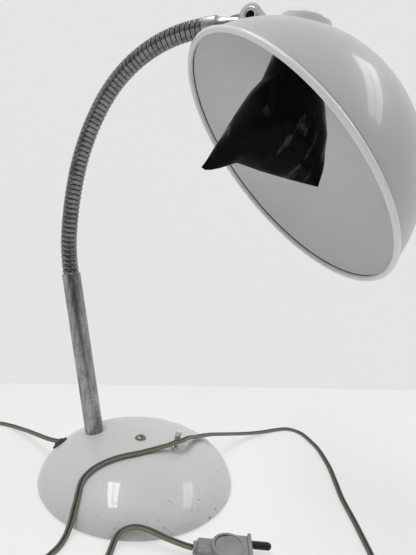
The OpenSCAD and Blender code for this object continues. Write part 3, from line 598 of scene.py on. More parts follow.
def enamel(name, colour, roughness, wear, gloss=0.5, chip_height=0.03):
    """Old sprayed enamel: an even gloss with a faint tone, pin-point specks, hairlines and a
    few chips down to dark metal near the lower edge."""
    f = Finish(name, colour, roughness, coat=gloss, coat_roughness=0.03, spec=0.2)
    tone = f.effect("blotches", Scale=7.0, Low=0.2, High=0.8)
    dots = f.effect("specks", Scale=560.0, Amount=0.185)
    lines = f.effect("scratches", Scale=12.0, Turn=0.7, Amount=0.19)
    chips = f.effect("specks", Scale=190.0, Amount=0.225)
    level = node(f.tree, "ShaderNodeSeparateXYZ", [(0, f.place)])
    low = node(f.tree, "ShaderNodeMapRange", [("Value", level.outputs["Z"])], in_1=chip_height,
               in_2=0.4 * chip_height)
    side = node(f.tree, "ShaderNodeMapRange", [("Value", level.outputs["X"])], in_1=0.0,
                in_2=0.05)
    chips = f.both(f.both(chips, low.outputs[0]), side.outputs[0])
    f.paint(tone, shade_of(colour, 0.95), 0.4)
    f.paint(dots, (0.13, 0.12, 0.10), 0.55 * wear)
    f.paint(lines, shade_of(colour, 0.7), 0.35 * wear)
    f.paint(chips, (0.07, 0.06, 0.05), 0.9 * wear)
    f.roughen(dots, 0.25).roughen(chips, 0.35)
    peel = f.effect("blotches", Scale=240.0, Low=0.2, High=0.8)
    f.dent(peel, 0.006 * MM).dent(chips, -0.04 * MM).dent(lines, -0.01 * MM)
    return f.done()


def plating(name, colour, tarnish, roughness, grime, stretch, matt=1.0):
    """Worn plating: dull blotches, dirt, specks, dark runs and long rubbed streaks. The dirt's
    part of the roughness is taken down by matt below 1."""
    f = Finish(name, colour, roughness, metallic=1.0)
    dull = f.effect("blotches", Scale=55.0, Low=0.38, High=0.68)
    dirt = f.effect("blotches", Scale=160.0, Low=0.50, High=0.70)
    rubbed = f.effect("streaks", Stretch=stretch, Scale=330.0, Low=0.45, High=0.70)
    dots = f.effect("specks", Scale=520.0, Amount=0.20)
    runs = f.effect("streaks", Stretch=stretch, Scale=110.0, Low=0.50, High=0.60)
    f.paint(runs, shade_of(colour, 0.4), 0.6 * grime)
    f.paint(dull, shade_of(colour, 0.45), 0.7 * grime)
    f.paint(dirt, tarnish, 0.55 * grime)
    f.paint(rubbed, shade_of(colour, 1.35), 0.45)
    f.paint(dots, shade_of(tarnish, 0.5), 0.7 * grime)
    f.roughen(dull, 0.16 * matt).roughen(dirt, 0.22 * matt).roughen(dots, 0.3 * matt)
    f.dent(dirt, 0.03 * MM).dent(dots, -0.04 * MM)
    return f.done()


def bright(name, colour, roughness, tarnish):
    """Small turned or stamped parts: brushed metal with stains in places."""
    f = Finish(name, colour, roughness, metallic=1.0)
    stain = f.effect("blotches", Scale=220.0, Low=0.45, High=0.66)
    brushed = f.effect("streaks", Stretch=(1.0, 1.0, 0.1), Scale=900.0, Low=0.3, High=0.7)
    f.paint(stain, tarnish, 0.45).paint(brushed, shade_of(colour, 0.8), 0.3)
    f.roughen(stain, 0.2).roughen(brushed, 0.08)
    f.dent(brushed, 0.01 * MM)
    return f.done()


def dull_solid(name, colour, roughness, grain_scale, grain_depth, spec=0.35):
    """Rubber, felt, cast iron or moulded plastic: a grain, cloudy tone and specks of dust."""
    f = Finish(name, colour, roughness, spec=spec)
    grain = f.effect("blotches", Scale=grain_scale, Low=0.3, High=0.7)
    cloudy = f.effect("blotches", Scale=40.0, Low=0.4, High=0.65)
    dust = f.effect("specks", Scale=600.0, Amount=0.22)
    f.paint(grain, shade_of(colour, 0.72), 0.6)
    f.paint(cloudy, shade_of(colour, 1.35, 0.01), 0.5)
    f.paint(dust, (0.45, 0.44, 0.42), 0.25)
    f.roughen(cloudy, 0.08)
    f.dent(grain, grain_depth)
    return f.done()


def cord_skin(name, colour):
    """Aged rubber skin of the twin cord, from the cord's own UV map: long soft wear along it,
    faint cracks across it, painted shade in the groove between its cores and paler flanks."""
    f = Finish(name, colour, 0.55, spec=0.4)
    worn = f.effect("blotches", f.scaled(f.strip(), 40.0, 3.0), Scale=1.6, Low=0.4, High=0.66)
    cracks = f.effect("blotches", f.scaled(f.strip(), 900.0, 2.0), Scale=1.0, Low=0.62,
                      High=0.78)
    dots = f.effect("specks", Scale=700.0, Amount=0.2)
    round_it = node(f.tree, "ShaderNodeSeparateXYZ", [(0, f.strip())]).outputs["Y"]
    half = node(f.tree, "ShaderNodeMath", [(0, f.share(round_it, 2.0))], operation="FRACT")
    off = node(f.tree, "ShaderNodeMath", [(0, half.outputs[0])], operation="SUBTRACT",
               in_1=0.4615)
    off = node(f.tree, "ShaderNodeMath", [(0, off.outputs[0])], operation="ABSOLUTE")
    # groove: painted shade, a dark line along the web between the two cores
    groove = node(f.tree, "ShaderNodeMapRange", [("Value", off.outputs[0])], in_1=0.15,
                  in_2=0.05).outputs[0]
    flank = node(f.tree, "ShaderNodeMapRange", [("Value", off.outputs[0])], in_1=0.22,
                 in_2=0.42).outputs[0]
    f.paint(worn, shade_of(colour, 1.5), 0.5)
    f.paint(flank, (0.30, 0.27, 0.19), 0.38).paint(groove, shade_of(colour, 0.2), 0.85)
    f.paint(cracks, shade_of(colour, 0.4), 0.5).paint(dots, (0.04, 0.04, 0.035), 0.6)
    f.roughen(worn, 0.12)
    f.dent(cracks, -0.03 * MM)
    return f.done()


def film_skin(name, colour):
    """Thin black film: nearly dull, with fine crumples, a faint haze and glossy creases."""
    f = Finish(name, colour, 0.30, coat=0.025, coat_roughness=0.06, spec=0.05)
    haze = f.effect("blotches", Scale=24.0, Low=0.55, High=0.8)
    f.paint(haze, shade_of(colour, 3.0), 0.5)
    crumple = f.effect("streaks", Stretch=(1.0, 0.45, 0.5), Scale=55.0, Low=0.35, High=0.7)
    glint = f.effect("scratches", Scale=7.0, Turn=0.9, Amount=0.27)
    f.tree.links.new(f.share(glint, 0.5), f.shader.inputs["Coat Weight"])
    f.roughen(haze, 0.1)
    f.dent(crumple, 0.35 * MM).dent(glint, 0.15 * MM)
    return f.done()


def build_finishes(c):
    """Every finish of the lamp, by the name of its material slot."""
    build_groups()
    return {
        "table_top": pale_surface("table_top", (0.87, 0.87, 0.865), 0.90, 0.62),
        "wall_paint": pale_surface("wall_paint", (0.82, 0.82, 0.82), 0.81, 0.88),
        "grey_enamel": enamel("grey_enamel", c.enamel, 0.35, 1.0),
        # the base's enamel made darker for the shade's outside: painted shade
        "shade_enamel_painted_darker": enamel("shade_enamel_painted_darker", c.shade, 0.35, 0.35, 0.30),
        # paler copy of the grey enamel for the bead and the cap: painted light
        "bead_enamel_painted_lighter": enamel("bead_enamel_painted_lighter", shade_of(c.enamel, 0.8, 0.24), 0.3, 0.5),
        "inner_enamel": enamel("inner_enamel", c.enamel_inside, 0.45, 0.3),
        "worn_steel": plating("worn_steel", c.plating, c.tarnish, 0.17, 1.0,
                              (1.0, 1.0, 0.05), 0.6),
        "wound_strip": plating("wound_strip", c.strip, c.tarnish, 0.12, 0.6,
                               (1.0, 1.0, 1.0), 0.35),
        # dark paint for the shade's outer crease: painted shade
        "crease_painted_shade": dull_solid("crease_painted_shade", (0.16, 0.155, 0.145), 0.7, 300.0,
                                   0.02 * MM),
        # near-black paint for the neck's grooves, the rivet's bore and the shade's inner crease:
        # dirt and painted shade
        "groove_dirt_and_painted_shade": dull_solid("groove_dirt_and_painted_shade", (0.02, 0.018, 0.016), 0.8, 900.0, 0.02 * MM),
        "bright_nickel": bright("bright_nickel", c.nickel, 0.20, (0.25, 0.19, 0.10)),
        "aged_screw": bright("aged_screw", (0.28, 0.255, 0.21), 0.30, (0.12, 0.09, 0.05)),
        "dull_nickel": bright("dull_nickel", (0.42, 0.415, 0.40), 0.26, (0.16, 0.14, 0.11)),
        "turned_brass": bright("turned_brass", c.brass, 0.28, (0.12, 0.07, 0.03)),
        "cast_weight": dull_solid("cast_weight", (0.06, 0.06, 0.062), 0.7, 500.0, 0.1 * MM),
        "dark_felt": dull_solid("dark_felt", c.rubber, 0.95, 1800.0, 0.15 * MM, 0.1),
        "dark_rubber": dull_solid("dark_rubber", c.rubber, 0.6, 900.0, 0.03 * MM),
        "cord_rubber": cord_skin("cord_rubber", c.cord),
        "ivory_button": dull_solid("ivory_button", c.ivory, 0.35, 300.0, 0.01 * MM, 0.5),
        "button_shaft": dull_solid("button_shaft", (0.34, 0.34, 0.33), 0.4, 300.0, 0.01 * MM),
        "brown_bakelite": dull_solid("brown_bakelite", (0.05, 0.03, 0.02), 0.3, 200.0,
                                     0.01 * MM, 0.5),
        "clear_glass": clear_glass("clear_glass"),
        "black_film": film_skin("black_film", c.film),
        "grey_plug": dull_solid("grey_plug", c.plug, 0.45, 350.0, 0.03 * MM, 0.4),
        "plug_gutter_dark": dull_solid("plug_gutter_dark", (0.07, 0.072, 0.07), 0.7, 500.0, 0.02 * MM),
        "black_pin": dull_solid("black_pin", (0.012, 0.012, 0.012), 0.35, 400.0, 0.01 * MM),
    }


def clear_glass(name):
    """Glass of the bulb with a little dust on it."""
    f = Finish(name, (0.95, 0.96, 0.95), 0.03)
    f.shader.inputs["Transmission Weight"].default_value = 1.0
    f.shader.inputs["IOR"].default_value = 1.45
    dust = f.effect("blotches", Scale=60.0, Low=0.5, High=0.8)
    f.roughen(dust, 0.15)
    return f.done()


# ---------------------------------------------------------------- stage

CAMERA_AT = (0.222956, -0.376848, 0.277852)
CAMERA_AXES = (                         # right, up and back
    (0.90213, 0.41945, 0.10111), (-0.1578, 0.10263, 0.98212), (0.40158, -0.90196, 0.15878))
CAMERA_LENS = 40.673
WALL_FOOT = ((-0.2786, 0.0775), (0.2512, 0.4692))   # two points on the line where it stands
WALL_HALF, WALL_TOP = 2.4, 0.80
TABLE_DEPTH, TABLE_TOP = 3.2, -0.0002
DARK_SIDE = (0.34, -0.93, -0.12)        # towards the dim end of the room
ROOM_LIGHTS = (
    # name, place, aimed at, long side along, size, panes, radiance
    ("skylight", (-0.45, -0.50, 2.20), (0.0, 0.0, 0.1), (0.37, -0.93, 0.0), (1.6, 0.34),
     (4, 2), 15.0),
    ("window_right", (1.32, 0.80, 1.77), (0.05, 0.0, 0.2), (1.39, -0.70, 0.0), (1.56, 0.40),
     (3, 2), 5.0),
)


def build_stage(finish):
    """Camera at the lamp's front right, a pale table, a pale wall, two windows cut into panes
    and a room that is dimmer on one side."""
    scene = bpy.context.scene
    data = bpy.data.cameras.new("camera")
    data.sensor_fit, data.sensor_width, data.lens = "HORIZONTAL", 36.0, CAMERA_LENS
    data.clip_start, data.clip_end = 0.01, 20.0
    cam = bpy.data.objects.new("camera", data)
    cam.matrix_world = Matrix([*zip(*CAMERA_AXES, CAMERA_AT), (0, 0, 0, 1)])
    scene.collection.objects.link(cam)
    scene.camera = cam

    ends = np.array(WALL_FOOT)
    run = (ends[1] - ends[0]) / np.linalg.norm(ends[1] - ends[0])
    mid = (ends[0] + ends[1]) / 2
    a, b = mid - WALL_HALF * run, mid + WALL_HALF * run
    out = np.array([run[1], -run[0]]) * TABLE_DEPTH
    low, high = TABLE_TOP, WALL_TOP
    for name, corners, coat in (
            ("table", ((*a, low), (*(a + out), low), (*(b + out), low), (*b, low)), "table_top"),
            ("wall", ((*a, low), (*b, low), (*b, high), (*a, high)), "wall_paint")):
        mesh = bpy.data.meshes.new(name)
        mesh.from_pydata(corners, [], [(0, 1, 2, 3)])
        mesh.materials.append(finish[coat])
        obj = bpy.data.objects.new(name, mesh)
        scene.collection.objects.link(obj)

    for name, place, aim, along, size, panes, radiance in ROOM_LIGHTS:
        z = np.array(place) - np.array(aim)
        z = z / np.linalg.norm(z)
        x = np.array(along) - (np.array(along) @ z) * z
        x = x / np.linalg.norm(x)
        y = np.cross(z, x)
        pane = np.array(size) / panes
        light = bpy.data.lights.new(name, "AREA")
        light.shape, light.size, light.size_y = "RECTANGLE", 0.93 * pane[0], 0.86 * pane[1]
        light.energy = radiance * math.pi * light.size * light.size_y
        for i in range(panes[0] * panes[1]):
            across = (i % panes[0] - (panes[0] - 1) / 2) * pane[0]
            up = (i // panes[0] - (panes[1] - 1) / 2) * pane[1]
            pose = np.eye(4)
            pose[:3, :3] = np.stack([x, y, z], -1)
            pose[:3, 3] = np.array(place) + across * x + up * y
            obj = bpy.data.objects.new(f"{name}_{i + 1}", light)
            obj.matrix_world = Matrix(pose.tolist())
            scene.collection.objects.link(obj)

    world = bpy.data.worlds.new("room")
    scene.world = world
    world.use_nodes = True
    tree = world.node_tree
    sky = tree.nodes["Background"]
    where = node(tree, "ShaderNodeTexCoord").outputs["Generated"]
    towards_dark = node(tree, "ShaderNodeVectorMath", [(0, where)], operation="DOT_PRODUCT",
                       in_1=DARK_SIDE).outputs["Value"]
    room_tone = node(tree, "ShaderNodeMapRange", [("Value", towards_dark)],
                     interpolation_type="SMOOTHSTEP", in_1=0.30, in_2=0.95, in_3=0.66, in_4=0.18)
    ray = node(tree, "ShaderNodeLightPath").outputs["Is Camera Ray"]
    seen = node(tree, "ShaderNodeMix", [(0, ray), (2, room_tone.outputs[0])],
                data_type="FLOAT", in_3=1.0)
    tree.links.new(seen.outputs[0], sky.inputs["Strength"])
    sky.inputs["Color"].default_value = (1.0, 1.0, 1.0, 1.0)
    scene.view_settings.view_transform = "Standard"


def pale_surface(name, colour, glow, share):
    """Matt pale paint with a faint cloudy tone. Where it is seen straight on or in a shiny
    surface, a share of it shines evenly with the strength glow; the rest takes the shadows.
    The camera sees through it from behind."""
    f = Finish(name, colour, 0.75, spec=0.2)
    cloudy = f.effect("blotches", Scale=3.0, Low=0.3, High=0.7)
    f.paint(cloudy, shade_of(colour, 0.985), 0.6).roughen(cloudy, 0.05)
    f.done()
    ray = node(f.tree, "ShaderNodeLightPath").outputs
    seen = node(f.tree, "ShaderNodeMath", [(0, ray["Is Camera Ray"]), (1, ray["Is Glossy Ray"])],
                operation="MAXIMUM")
    seen = node(f.tree, "ShaderNodeMath", [(0, seen.outputs[0]),
                                           (1, ray["Is Transmission Ray"])],
                operation="MAXIMUM")
    lit = node(f.tree, "ShaderNodeEmission", in_Strength=glow)
    mix = node(f.tree, "ShaderNodeMixShader", [(0, f.share(seen.outputs[0], share)),
                                               (1, f.shader.outputs[0]), (2, lit.outputs[0])])
    back = node(f.tree, "ShaderNodeNewGeometry").outputs["Backfacing"]
    back = node(f.tree, "ShaderNodeMath", [(0, back), (1, ray["Is Camera Ray"])],
                operation="MULTIPLY")
    clear = node(f.tree, "ShaderNodeBsdfTransparent")
    mix = node(f.tree, "ShaderNodeMixShader", [(0, back.outputs[0]), (1, mix.outputs[0]),
                                               (2, clear.outputs[0])])
    f.tree.links.new(mix.outputs[0], f.tree.nodes["Material Output"].inputs["Surface"])
    return f.material


# ---------------------------------------------------------------- cord

NEAR_ROUTE_MM = (
    (-81.4, -24.7, 21.9), (-85.5, -26.6, 22.3), (-91, -26.6, 21.6), (-98.5, -24.9, 20.1),
    (-106, -22.4, 18.2), (-114, -19.5, 16.2), (-123.5, -16, 13.6), (-135, -11.5, 10.4),
    (-145.5, -7.8, 7.4), (-156.5, -4.8, 4.8), (-166, -2.8, 3), (-174.5, -2.4, 1.9),
    (-181.5, -3.2, 1.5), (-187.5, -5.2, 1.5), (-194, -8.2, 1.5), (-200.5, -10.2, 1.5))
FAR_ROUTE_MM = (
    (-195.5, -83, 4.2), (-186, -84.4, 3.2), (-176, -87.3, 2.1), (-166, -91.8, 1.5),
    (-154, -98.5, 1.5), (-138, -109.5, 1.5), (-118, -121.5, 1.5), (-95, -132.5, 1.5),
    (-67, -142.5, 1.5), (-38, -149.5, 1.5), (-10, -151, 1.5), (22, -150.8, 1.5), (52, -148, 1.5),
    (82, -141, 1.5), (114, -128, 1.5), (146, -109, 1.5), (176, -84, 1.5), (198, -60, 1.5),
    (213, -40, 1.5), (222, -25, 1.5), (226.5, -12, 1.5), (227.3, 0, 1.5), (224.7, 10.8, 1.5),
    (219.5, 21.5, 1.5), (213.5, 33.5, 1.5), (204, 52, 1.5), (190, 78, 1.5), (179, 104, 1.5),
    (167, 131, 1.5), (150, 160, 1.5), (137, 175, 1.5), (124, 187, 1.5), (113, 191, 1.5),
    (102, 189, 1.5), (91, 178, 1.5), (80, 160, 3), (69, 141, 6), (61, 122, 11), (53, 97, 19),
    (47, 71, 28), (43.5, 50, 34.5), (43, 36, 39), (42, 27, 42.5), (43, 16, 46.5), (43.2, 7, 48.4),
    (38.5, 0.5, 47.8), (33, -4, 45), (27, -9, 43), (20, -17, 41.4), (14, -26, 41.1),
    (7.5, -34, 40.7), (2, -41, 39.8), (-3, -48, 38.4), (-7, -55, 36.6), (-10, -62, 34.4),
    (-11.5, -69, 31.2), (-11, -75, 27.8), (-8.5, -80.5, 24.2), (-6, -85.5, 20.4),
    (-3.5, -91.5, 15.4), (-1, -97, 10.4), (1, -103.5, 5), (2.5, -109, 2.8), (3.8, -116, 1.6),
    (4.2, -124, 1.5), (4.8, -131.5, 1.5), (8.5, -138, 1.5), (15.5, -142, 1.5), (24, -143, 1.5),
    (32.5, -141, 1.5), (39.5, -135.5, 1.5), (43.5, -128, 1.5), (44.2, -118, 1.5),
    (43.2, -109.5, 1.6), (41.5, -102.5, 2), (39.5, -95.5, 4.2), (39, -91, 7), (40.5, -87, 10.4),
    (45, -83, 13.2), (51, -80, 14.6), (58.5, -77.5, 14.2), (67, -75.5, 12.6), (75.5, -74, 10.9),
    (84, -71.8, 9.4), (91.5, -69.6, 8), (96.2, -68, 7.5))
COIL_CENTRE_MM = (-216, -47)
COIL_PITCH, COIL_STEP = 5.75 * MM, 2.85 * MM    # turn beside turn, and layer on layer
CORD_LEVEL = 1.5 * MM                   # height of the cord's middle on the table


def coil_route(s):
    """Three and a half anticlockwise turns round the coil's middle: a spiral inwards on the
    table, a step up of one cord, and a spiral back outwards on top of it."""
    a = np.radians(np.arange(0, 1260.1, 20))
    turns_in = np.minimum(a, a[-1] - a) / TAU
    r = s.coil_radius + COIL_PITCH - COIL_PITCH * turns_in
    step = math.radians(35)
    z = CORD_LEVEL + COIL_STEP * ease(a, a[-1] / 2 - step, a[-1] / 2 + step)
    x0, y0 = (c * MM for c in COIL_CENTRE_MM)
    b = a + math.pi / 2
    return np.stack([x0 + r * np.cos(b), y0 + r * np.sin(b), z], -1)


def twin_section(width, points=26):
    """Flat twin cord: two round cores side by side with a web, as the larger of a circle about
    each core and a level web, half = max(sqrt(c^2 - (|x| - c)^2), web)."""
    c = width / 4
    a = np.linspace(0, TAU, points + 1)[:-1] + math.pi / points
    x = 2 * c * np.cos(a)
    y = np.sqrt(np.maximum(c * c - (np.abs(x) - c) ** 2, 0))
    y = np.maximum(y, np.minimum(0.3 * c, 2 * c * np.abs(np.sin(a))))
    return np.stack([x, np.sign(np.sin(a)) * y], -1)


def build_cord(s, finish):
    """The mains cord in one length: from the grommet over the table to the coil, round it, in
    front of the lamp, up over the dome past the switch, down again and into the plug."""
    route = np.vstack([np.array(NEAR_ROUTE_MM) * MM, coil_route(s)[1:-1],
                       np.array(FAR_ROUTE_MM) * MM])
    line, even = smooth_line(route, 1.6 * MM)
    section = twin_section(s.cord_width)
    body = swept(line, even, section, np.array([0, 0, 1.0]))
    grid = body[0].reshape(len(line), len(section) + 1, 3)
    start = end_cap(line[0], grid[0], (line[0] - line[1]) * 0.2)
    stop = end_cap(line[-1], grid[-1], (line[-1] - line[-2]) * 0.2)
    piece = make_piece("mains_cord", [body, start, stop], [finish["cord_rubber"]], "base",
                       ("cord_near", "cord_coil", "cord_far"), crease=60)
    on_it = [bpy.data.objects[n] for n in ("plug_shell", "plug_lid", "plug_pin_pair",
                                           "cord_collar")]
    on_it += [frame["nodes"]["plug_screw"], frame["nodes"]["coil_tie"]]


# ---------------------------------------------------------------- base and stem

def pressed(points, place, radius, depth):
    """Presses a flat round seat into a surface: within the radius, points move along the
    seat's axis on to the plane that lies depth below its origin."""
    local = carry(np.linalg.inv(place), points)
    near = 1 - ease(np.hypot(local[..., 0], local[..., 1]), radius - 0.3 * MM, radius + 2 * MM)
    near = near * (np.abs(local[..., 2]) < 20 * MM)
    return points + ((-depth - local[..., 2]) * near)[..., None] * place[:3, 2]


def dome_rows(t, radius, height, sides):
    """Grid over the dome: x, y = R cos(t)^(2/2.7) (cos a, sin a), z = H sin(t)^(2/1.75)."""
    a = np.linspace(0, TAU, sides + 1)
    r = radius * np.cos(t) ** (2 / DOME_PLAN)
    r[-1] = 0
    z = height * np.sin(t) ** (2 / DOME_SIDE)
    return np.stack([np.outer(r, np.cos(a)), np.outer(r, np.sin(a)),
                     np.repeat(z[:, None], sides + 1, 1)], -1)


def build_base(s, finish):
    """Pressed steel dome with two flat seats and a lower edge that is turned in."""
    seats = ((stem_frame(s), s.stem_radius + 2.5 * MM), (on_dome(*SWITCH_AT, s), 9 * MM))
    edge_z = 1.9 * MM
    low = math.asin((edge_z / s.base_height) ** (DOME_SIDE / 2))
    outer = dome_rows(low + (math.pi / 2 - low) * np.linspace(0, 1, 150) ** 1.15, s.base_radius,
                      s.base_height, s.base_sides)
    inner = dome_rows(np.linspace(low * 1.3, math.pi / 2, 40), s.base_radius - SHELL_T,
                      s.base_height - SHELL_T, 120)
    for place, radius in seats:
        outer = pressed(outer, place, radius, SEAT_DROP)
        inner = pressed(inner, place, radius, SEAT_DROP + SHELL_T)
    rim_r = float(np.hypot(*outer[0, 0, :2]))
    rim_in = float(np.hypot(*inner[0, 0, :2]))
    roll = arc(rim_r - 0.8 * MM, edge_z, 0.8 * MM, 0, -90, 5)
    edge = np.vstack([roll, [[rim_in, 1.1 * MM], [rim_in, inner[0, 0, 2]]]])[::-1]
    lip = turned(edge, s.base_sides)
    make_piece("base_dome", [surface(outer), surface(inner[::-1]), lip],
               [finish["grey_enamel"]], "base", ("base_shell",), crease=50,
               recalc=False, weld=2e-6)


def build_stem(s, finish):
    """Leaning tube whose top edge is rolled in over the neck, with a slight flare at its foot."""
    bore = s.neck_radius + 0.05 * MM
    up = np.linspace(0.6 * MM, s.stem_length - 1.1 * MM, 60)
    flare = 0.10 * MM * np.exp(-up / (6 * MM))
    outer = np.stack([s.stem_radius + flare, up], -1)
    lip = arc(s.stem_radius - MM, s.stem_length - MM, MM, 5, 90, 6)
    profile = ring([[[bore, -SEAT_DROP], [s.stem_radius + 0.1 * MM, -SEAT_DROP]], outer, lip,
                    [[bore, s.stem_length - 0.1 * MM]]])
    make_piece("stem", [placed(stem_frame(s), turned(profile, 96))], [finish["worn_steel"]],
               "base", ("stem_tube",), crease=45)


# ---------------------------------------------------------------- gooseneck

def strip_profile(s):
    """Cross-section of the wound strip as (radius, length along the neck): an outer band with
    rounded edges, its lip turned in, and a hook that reaches back into the turn below."""
    big, band = s.neck_radius, s.ring_pitch - s.groove
    e = 0.26 * MM
    hook_in, hook_out = big - STRIP_DEPTH, big - 1.55 * MM
    catch = big - 1.0 * MM
    crown = np.linspace(0.1, 0.9, 5)
    top = np.stack([big - 0.06 * MM * (2 * crown - 1) ** 2, band * crown], -1)
    return ring([
        [[hook_in, -3.2 * MM], [catch, -3.2 * MM], [catch, -2.6 * MM], [hook_out, -2.6 * MM],
         [hook_out, 0.0]],
        arc(big - 0.06 * MM - e, e, e, -90, 0, 4), top,
        arc(big - 0.06 * MM - e, band - e, e, 0, 90, 4),
        [[hook_out + 0.4 * MM, band], [hook_out + 0.4 * MM, band - 0.6 * MM],
         [big - 0.8 * MM, band - 0.6 * MM], [big - 0.8 * MM, 0.5 * MM], [hook_in, 0.5 * MM]]])


def wound_link(first, last, s, columns=44):
    """Turns first to last of the strip, wound left-handed round the neck's centre line. The
    strip's own place c runs up one pitch per turn; a point is C(c) + T(c) z + r (N cos a +
    B sin a) with a falling by a full turn per pitch, so each turn stays as stiff as a ring."""
    turns = last - first + 1
    t = np.linspace(0, turns, turns * columns + 1)
    c = (first - 0.5 + t) * s.ring_pitch
    p, heading = neck_line(c, s)
    along = np.stack([np.cos(heading), np.zeros_like(c), np.sin(heading)], -1)
    inner = np.stack([np.sin(heading), np.zeros_like(c), -np.cos(heading)], -1)
    a = math.pi / 2 - TAU * t
    out = inner * np.cos(a)[:, None] + np.array([0, 1.0, 0]) * np.sin(a)[:, None]
    sec = strip_profile(s)
    big = s.neck_radius
    sheet = p[None] + along[None] * sec[:, 1, None, None] + out[None] * sec[:, 0, None, None]
    uv = np.stack(np.broadcast_arrays(c[None, :] + 0 * sec[:, :1], sec[:, 1:]), -1)
    ends = []
    for face in (sheet[:, 0], sheet[:, -1]):
        core = face.mean(0)
        ends.append(surface(np.stack([face, core + (face - core) * 0.01])))
    # bed: a near-black band under the gap between turns, dirt and painted shade in the groove
    bed = ring([[[big - 1.5 * MM, 0.06 * MM - s.groove], [big - 1.05 * MM, 0.06 * MM - s.groove],
                 [big - 1.05 * MM, 0.3 * MM], [big - 1.5 * MM, 0.3 * MM]]])
    grid = p[None] + along[None] * bed[:, 1, None, None] + out[None] * bed[:, 0, None, None]
    return [surface(sheet, 0, uv), surface(grid, 1)] + ends


def build_neck(s, finish):
    """Thirteen lengths of the interlocking strip: one inside the stem, twelve of five turns."""
    for link in range(NECK_LINKS + 1):
        first = -3 if link == 0 else (link - 1) * RINGS_PER_LINK + 1
        make_piece(f"wound_strip_{link:02d}", wound_link(first, link * RINGS_PER_LINK, s),
                   [finish["wound_strip"], finish["groove_dirt_and_painted_shade"]],
                   "base" if link == 0 else f"neck_{link}", (f"neck_link_{link:02d}",),
                   crease=50)


# ---------------------------------------------------------------- knuckle and cap

def build_ferrule(s, finish):
    """Turned end of the neck: collar with a bead, a long taper, and a flat tongue with an eye."""
    start = neck_frame(neck_end(s), s)
    big, nose, end = 8.2 * MM, 4.6 * MM, 32 * MM
    bore = s.neck_radius - STRIP_DEPTH
    profile = np.vstack([
        [[0, 12 * MM], [bore, 12 * MM], [bore, -3.2 * MM], [bore + 0.6 * MM, -3.2 * MM],
         [bore + 0.6 * MM, 0]],
        arc(big - 0.6 * MM, 0.6 * MM, 0.6 * MM, -90, 0, 5),
        arc(big - 0.6 * MM, 11.4 * MM, 0.6 * MM, 0, 70, 5),
        [[6.9 * MM, 13 * MM], [6.2 * MM, 17 * MM], [5.5 * MM, 22 * MM], [5.0 * MM, 27 * MM]],
        arc(nose - MM, end - MM, MM, 10, 90, 5), [[0, end]]])
    barrel = placed(start, turned(profile, 72))
    place = pivot_frame(s)
    back = carry(np.linalg.inv(place) @ start, np.array([[0, 0, 20 * MM]]))[0]
    aim = math.atan2(back[1], back[0])
    span = math.hypot(back[0], back[1]) - 4 * MM

    def disc(x, y):
        return x * x + y * y < (8.5 * MM) ** 2

    def bar(x, y):
        return (x > 0) & (x < span) & (np.abs(y + 0.2 * MM) < nose)
    tongue = eye_plate(lambda a: reach_of([disc, bar], a - aim), 3.5 * MM, 0.5 * MM)
    make_piece("ferrule", [barrel, placed(place, tongue)], [finish["dull_nickel"]], "neck_12",
               ("neck_ferrule",), crease=40)


def build_rivet(s, finish):
    """Hollow rivet: a tube whose bore is painted near black as shade, its two ends rolled over the
    ears.
    """
    out, inn, flange, ear = 4.4 * MM, 3.3 * MM, 6.5 * MM, 6.6 * MM
    top = np.vstack([[[inn, ear + 0.2 * MM]],
                     arc(inn + 1.3 * MM, ear + 0.1 * MM, 1.3 * MM, 180, 90, 6),
                     arc(flange - 0.9 * MM, ear + 0.5 * MM, 0.9 * MM, 90, -30, 6),
                     [[flange - 0.6 * MM, ear], [out, ear], [out, 0]]])
    low = top[::-1] * [1, -1]
    place = pivot_frame(s)
    make_piece("hollow_rivet", [placed(place, turned(np.vstack([top, low]), 64)),
                                placed(place, turned([low[-1], top[0]], 64, 1))],
               [finish["bright_nickel"], finish["groove_dirt_and_painted_shade"]], "head", ("tilt_pivot",),
               crease=50)


def build_bracket(s, finish):
    """Pressed bracket: two rounded ears on the rivet, joined by a strap that runs under the cap
    to the lampholder's nipple; the corner between ear and strap is bent, not cut."""
    place = holder_frame(s)
    under, over = STRAP_UNDER, 1.25 * MM
    back = 10 * MM - EAR_REACH
    to_rivet = place @ shift(-EAR_REACH, 0, EAR_RISE) @ turn("X", math.pi / 2)
    arm_from, arm_to, arm_top = 4 * MM, 17 * MM, 8.4 * MM
    slope = (over - EAR_RISE - arm_top) / (arm_to - arm_from)

    def disc(x, y):
        return x * x + y * y < (9.5 * MM) ** 2

    def arm(x, y):
        return ((x > arm_from) & (x < arm_to) & (y > under - EAR_RISE)
                & (y < arm_top + slope * (x - arm_from)))
    ear = eye_plate(lambda a: reach_of([disc, arm], a), 1.1 * MM, 0.45 * MM)
    parts = [placed(to_rivet @ shift(0, 0, side * 5.5 * MM), ear) for side in (-1, 1)]
    w, bend = 8 * MM, 1.4 * MM
    cross = ring([arc(w - bend, under + bend, bend, -90, 0, 5), [[w, over - 0.4 * MM]],
                  arc(w - 0.4 * MM, over - 0.4 * MM, 0.4 * MM, 0, 90, 3),
                  arc(0.4 * MM - w, over - 0.4 * MM, 0.4 * MM, 90, 180, 3),
                  [[-w, under + bend]], arc(bend - w, under + bend, bend, 180, 270, 5)])
    x = np.concatenate([[back], np.linspace(back + 0.3 * MM, 0, 12),
                        8 * MM * np.sin(np.linspace(0.1, math.pi / 2, 14))])
    half = np.where(x > 0, np.sqrt(np.maximum(1 - (x / (8.0001 * MM)) ** 2, 0)), 1.0)
    grid = np.stack([np.repeat(x[:, None], len(cross), 1), np.outer(half, cross[:, 0]),
                     np.repeat(cross[None, :, 1], len(x), 0)], -1)
    first = grid[:1] * [1, 0, 0] + [[0, 0, (under + over) / 2]]
    grid = np.concatenate([np.broadcast_to(first, grid[:1].shape), grid])
    parts.append(placed(place, surface(grid)))
    make_piece("bracket", parts, [finish["grey_enamel"]], "head", ("shade_bracket",),
               crease=40)


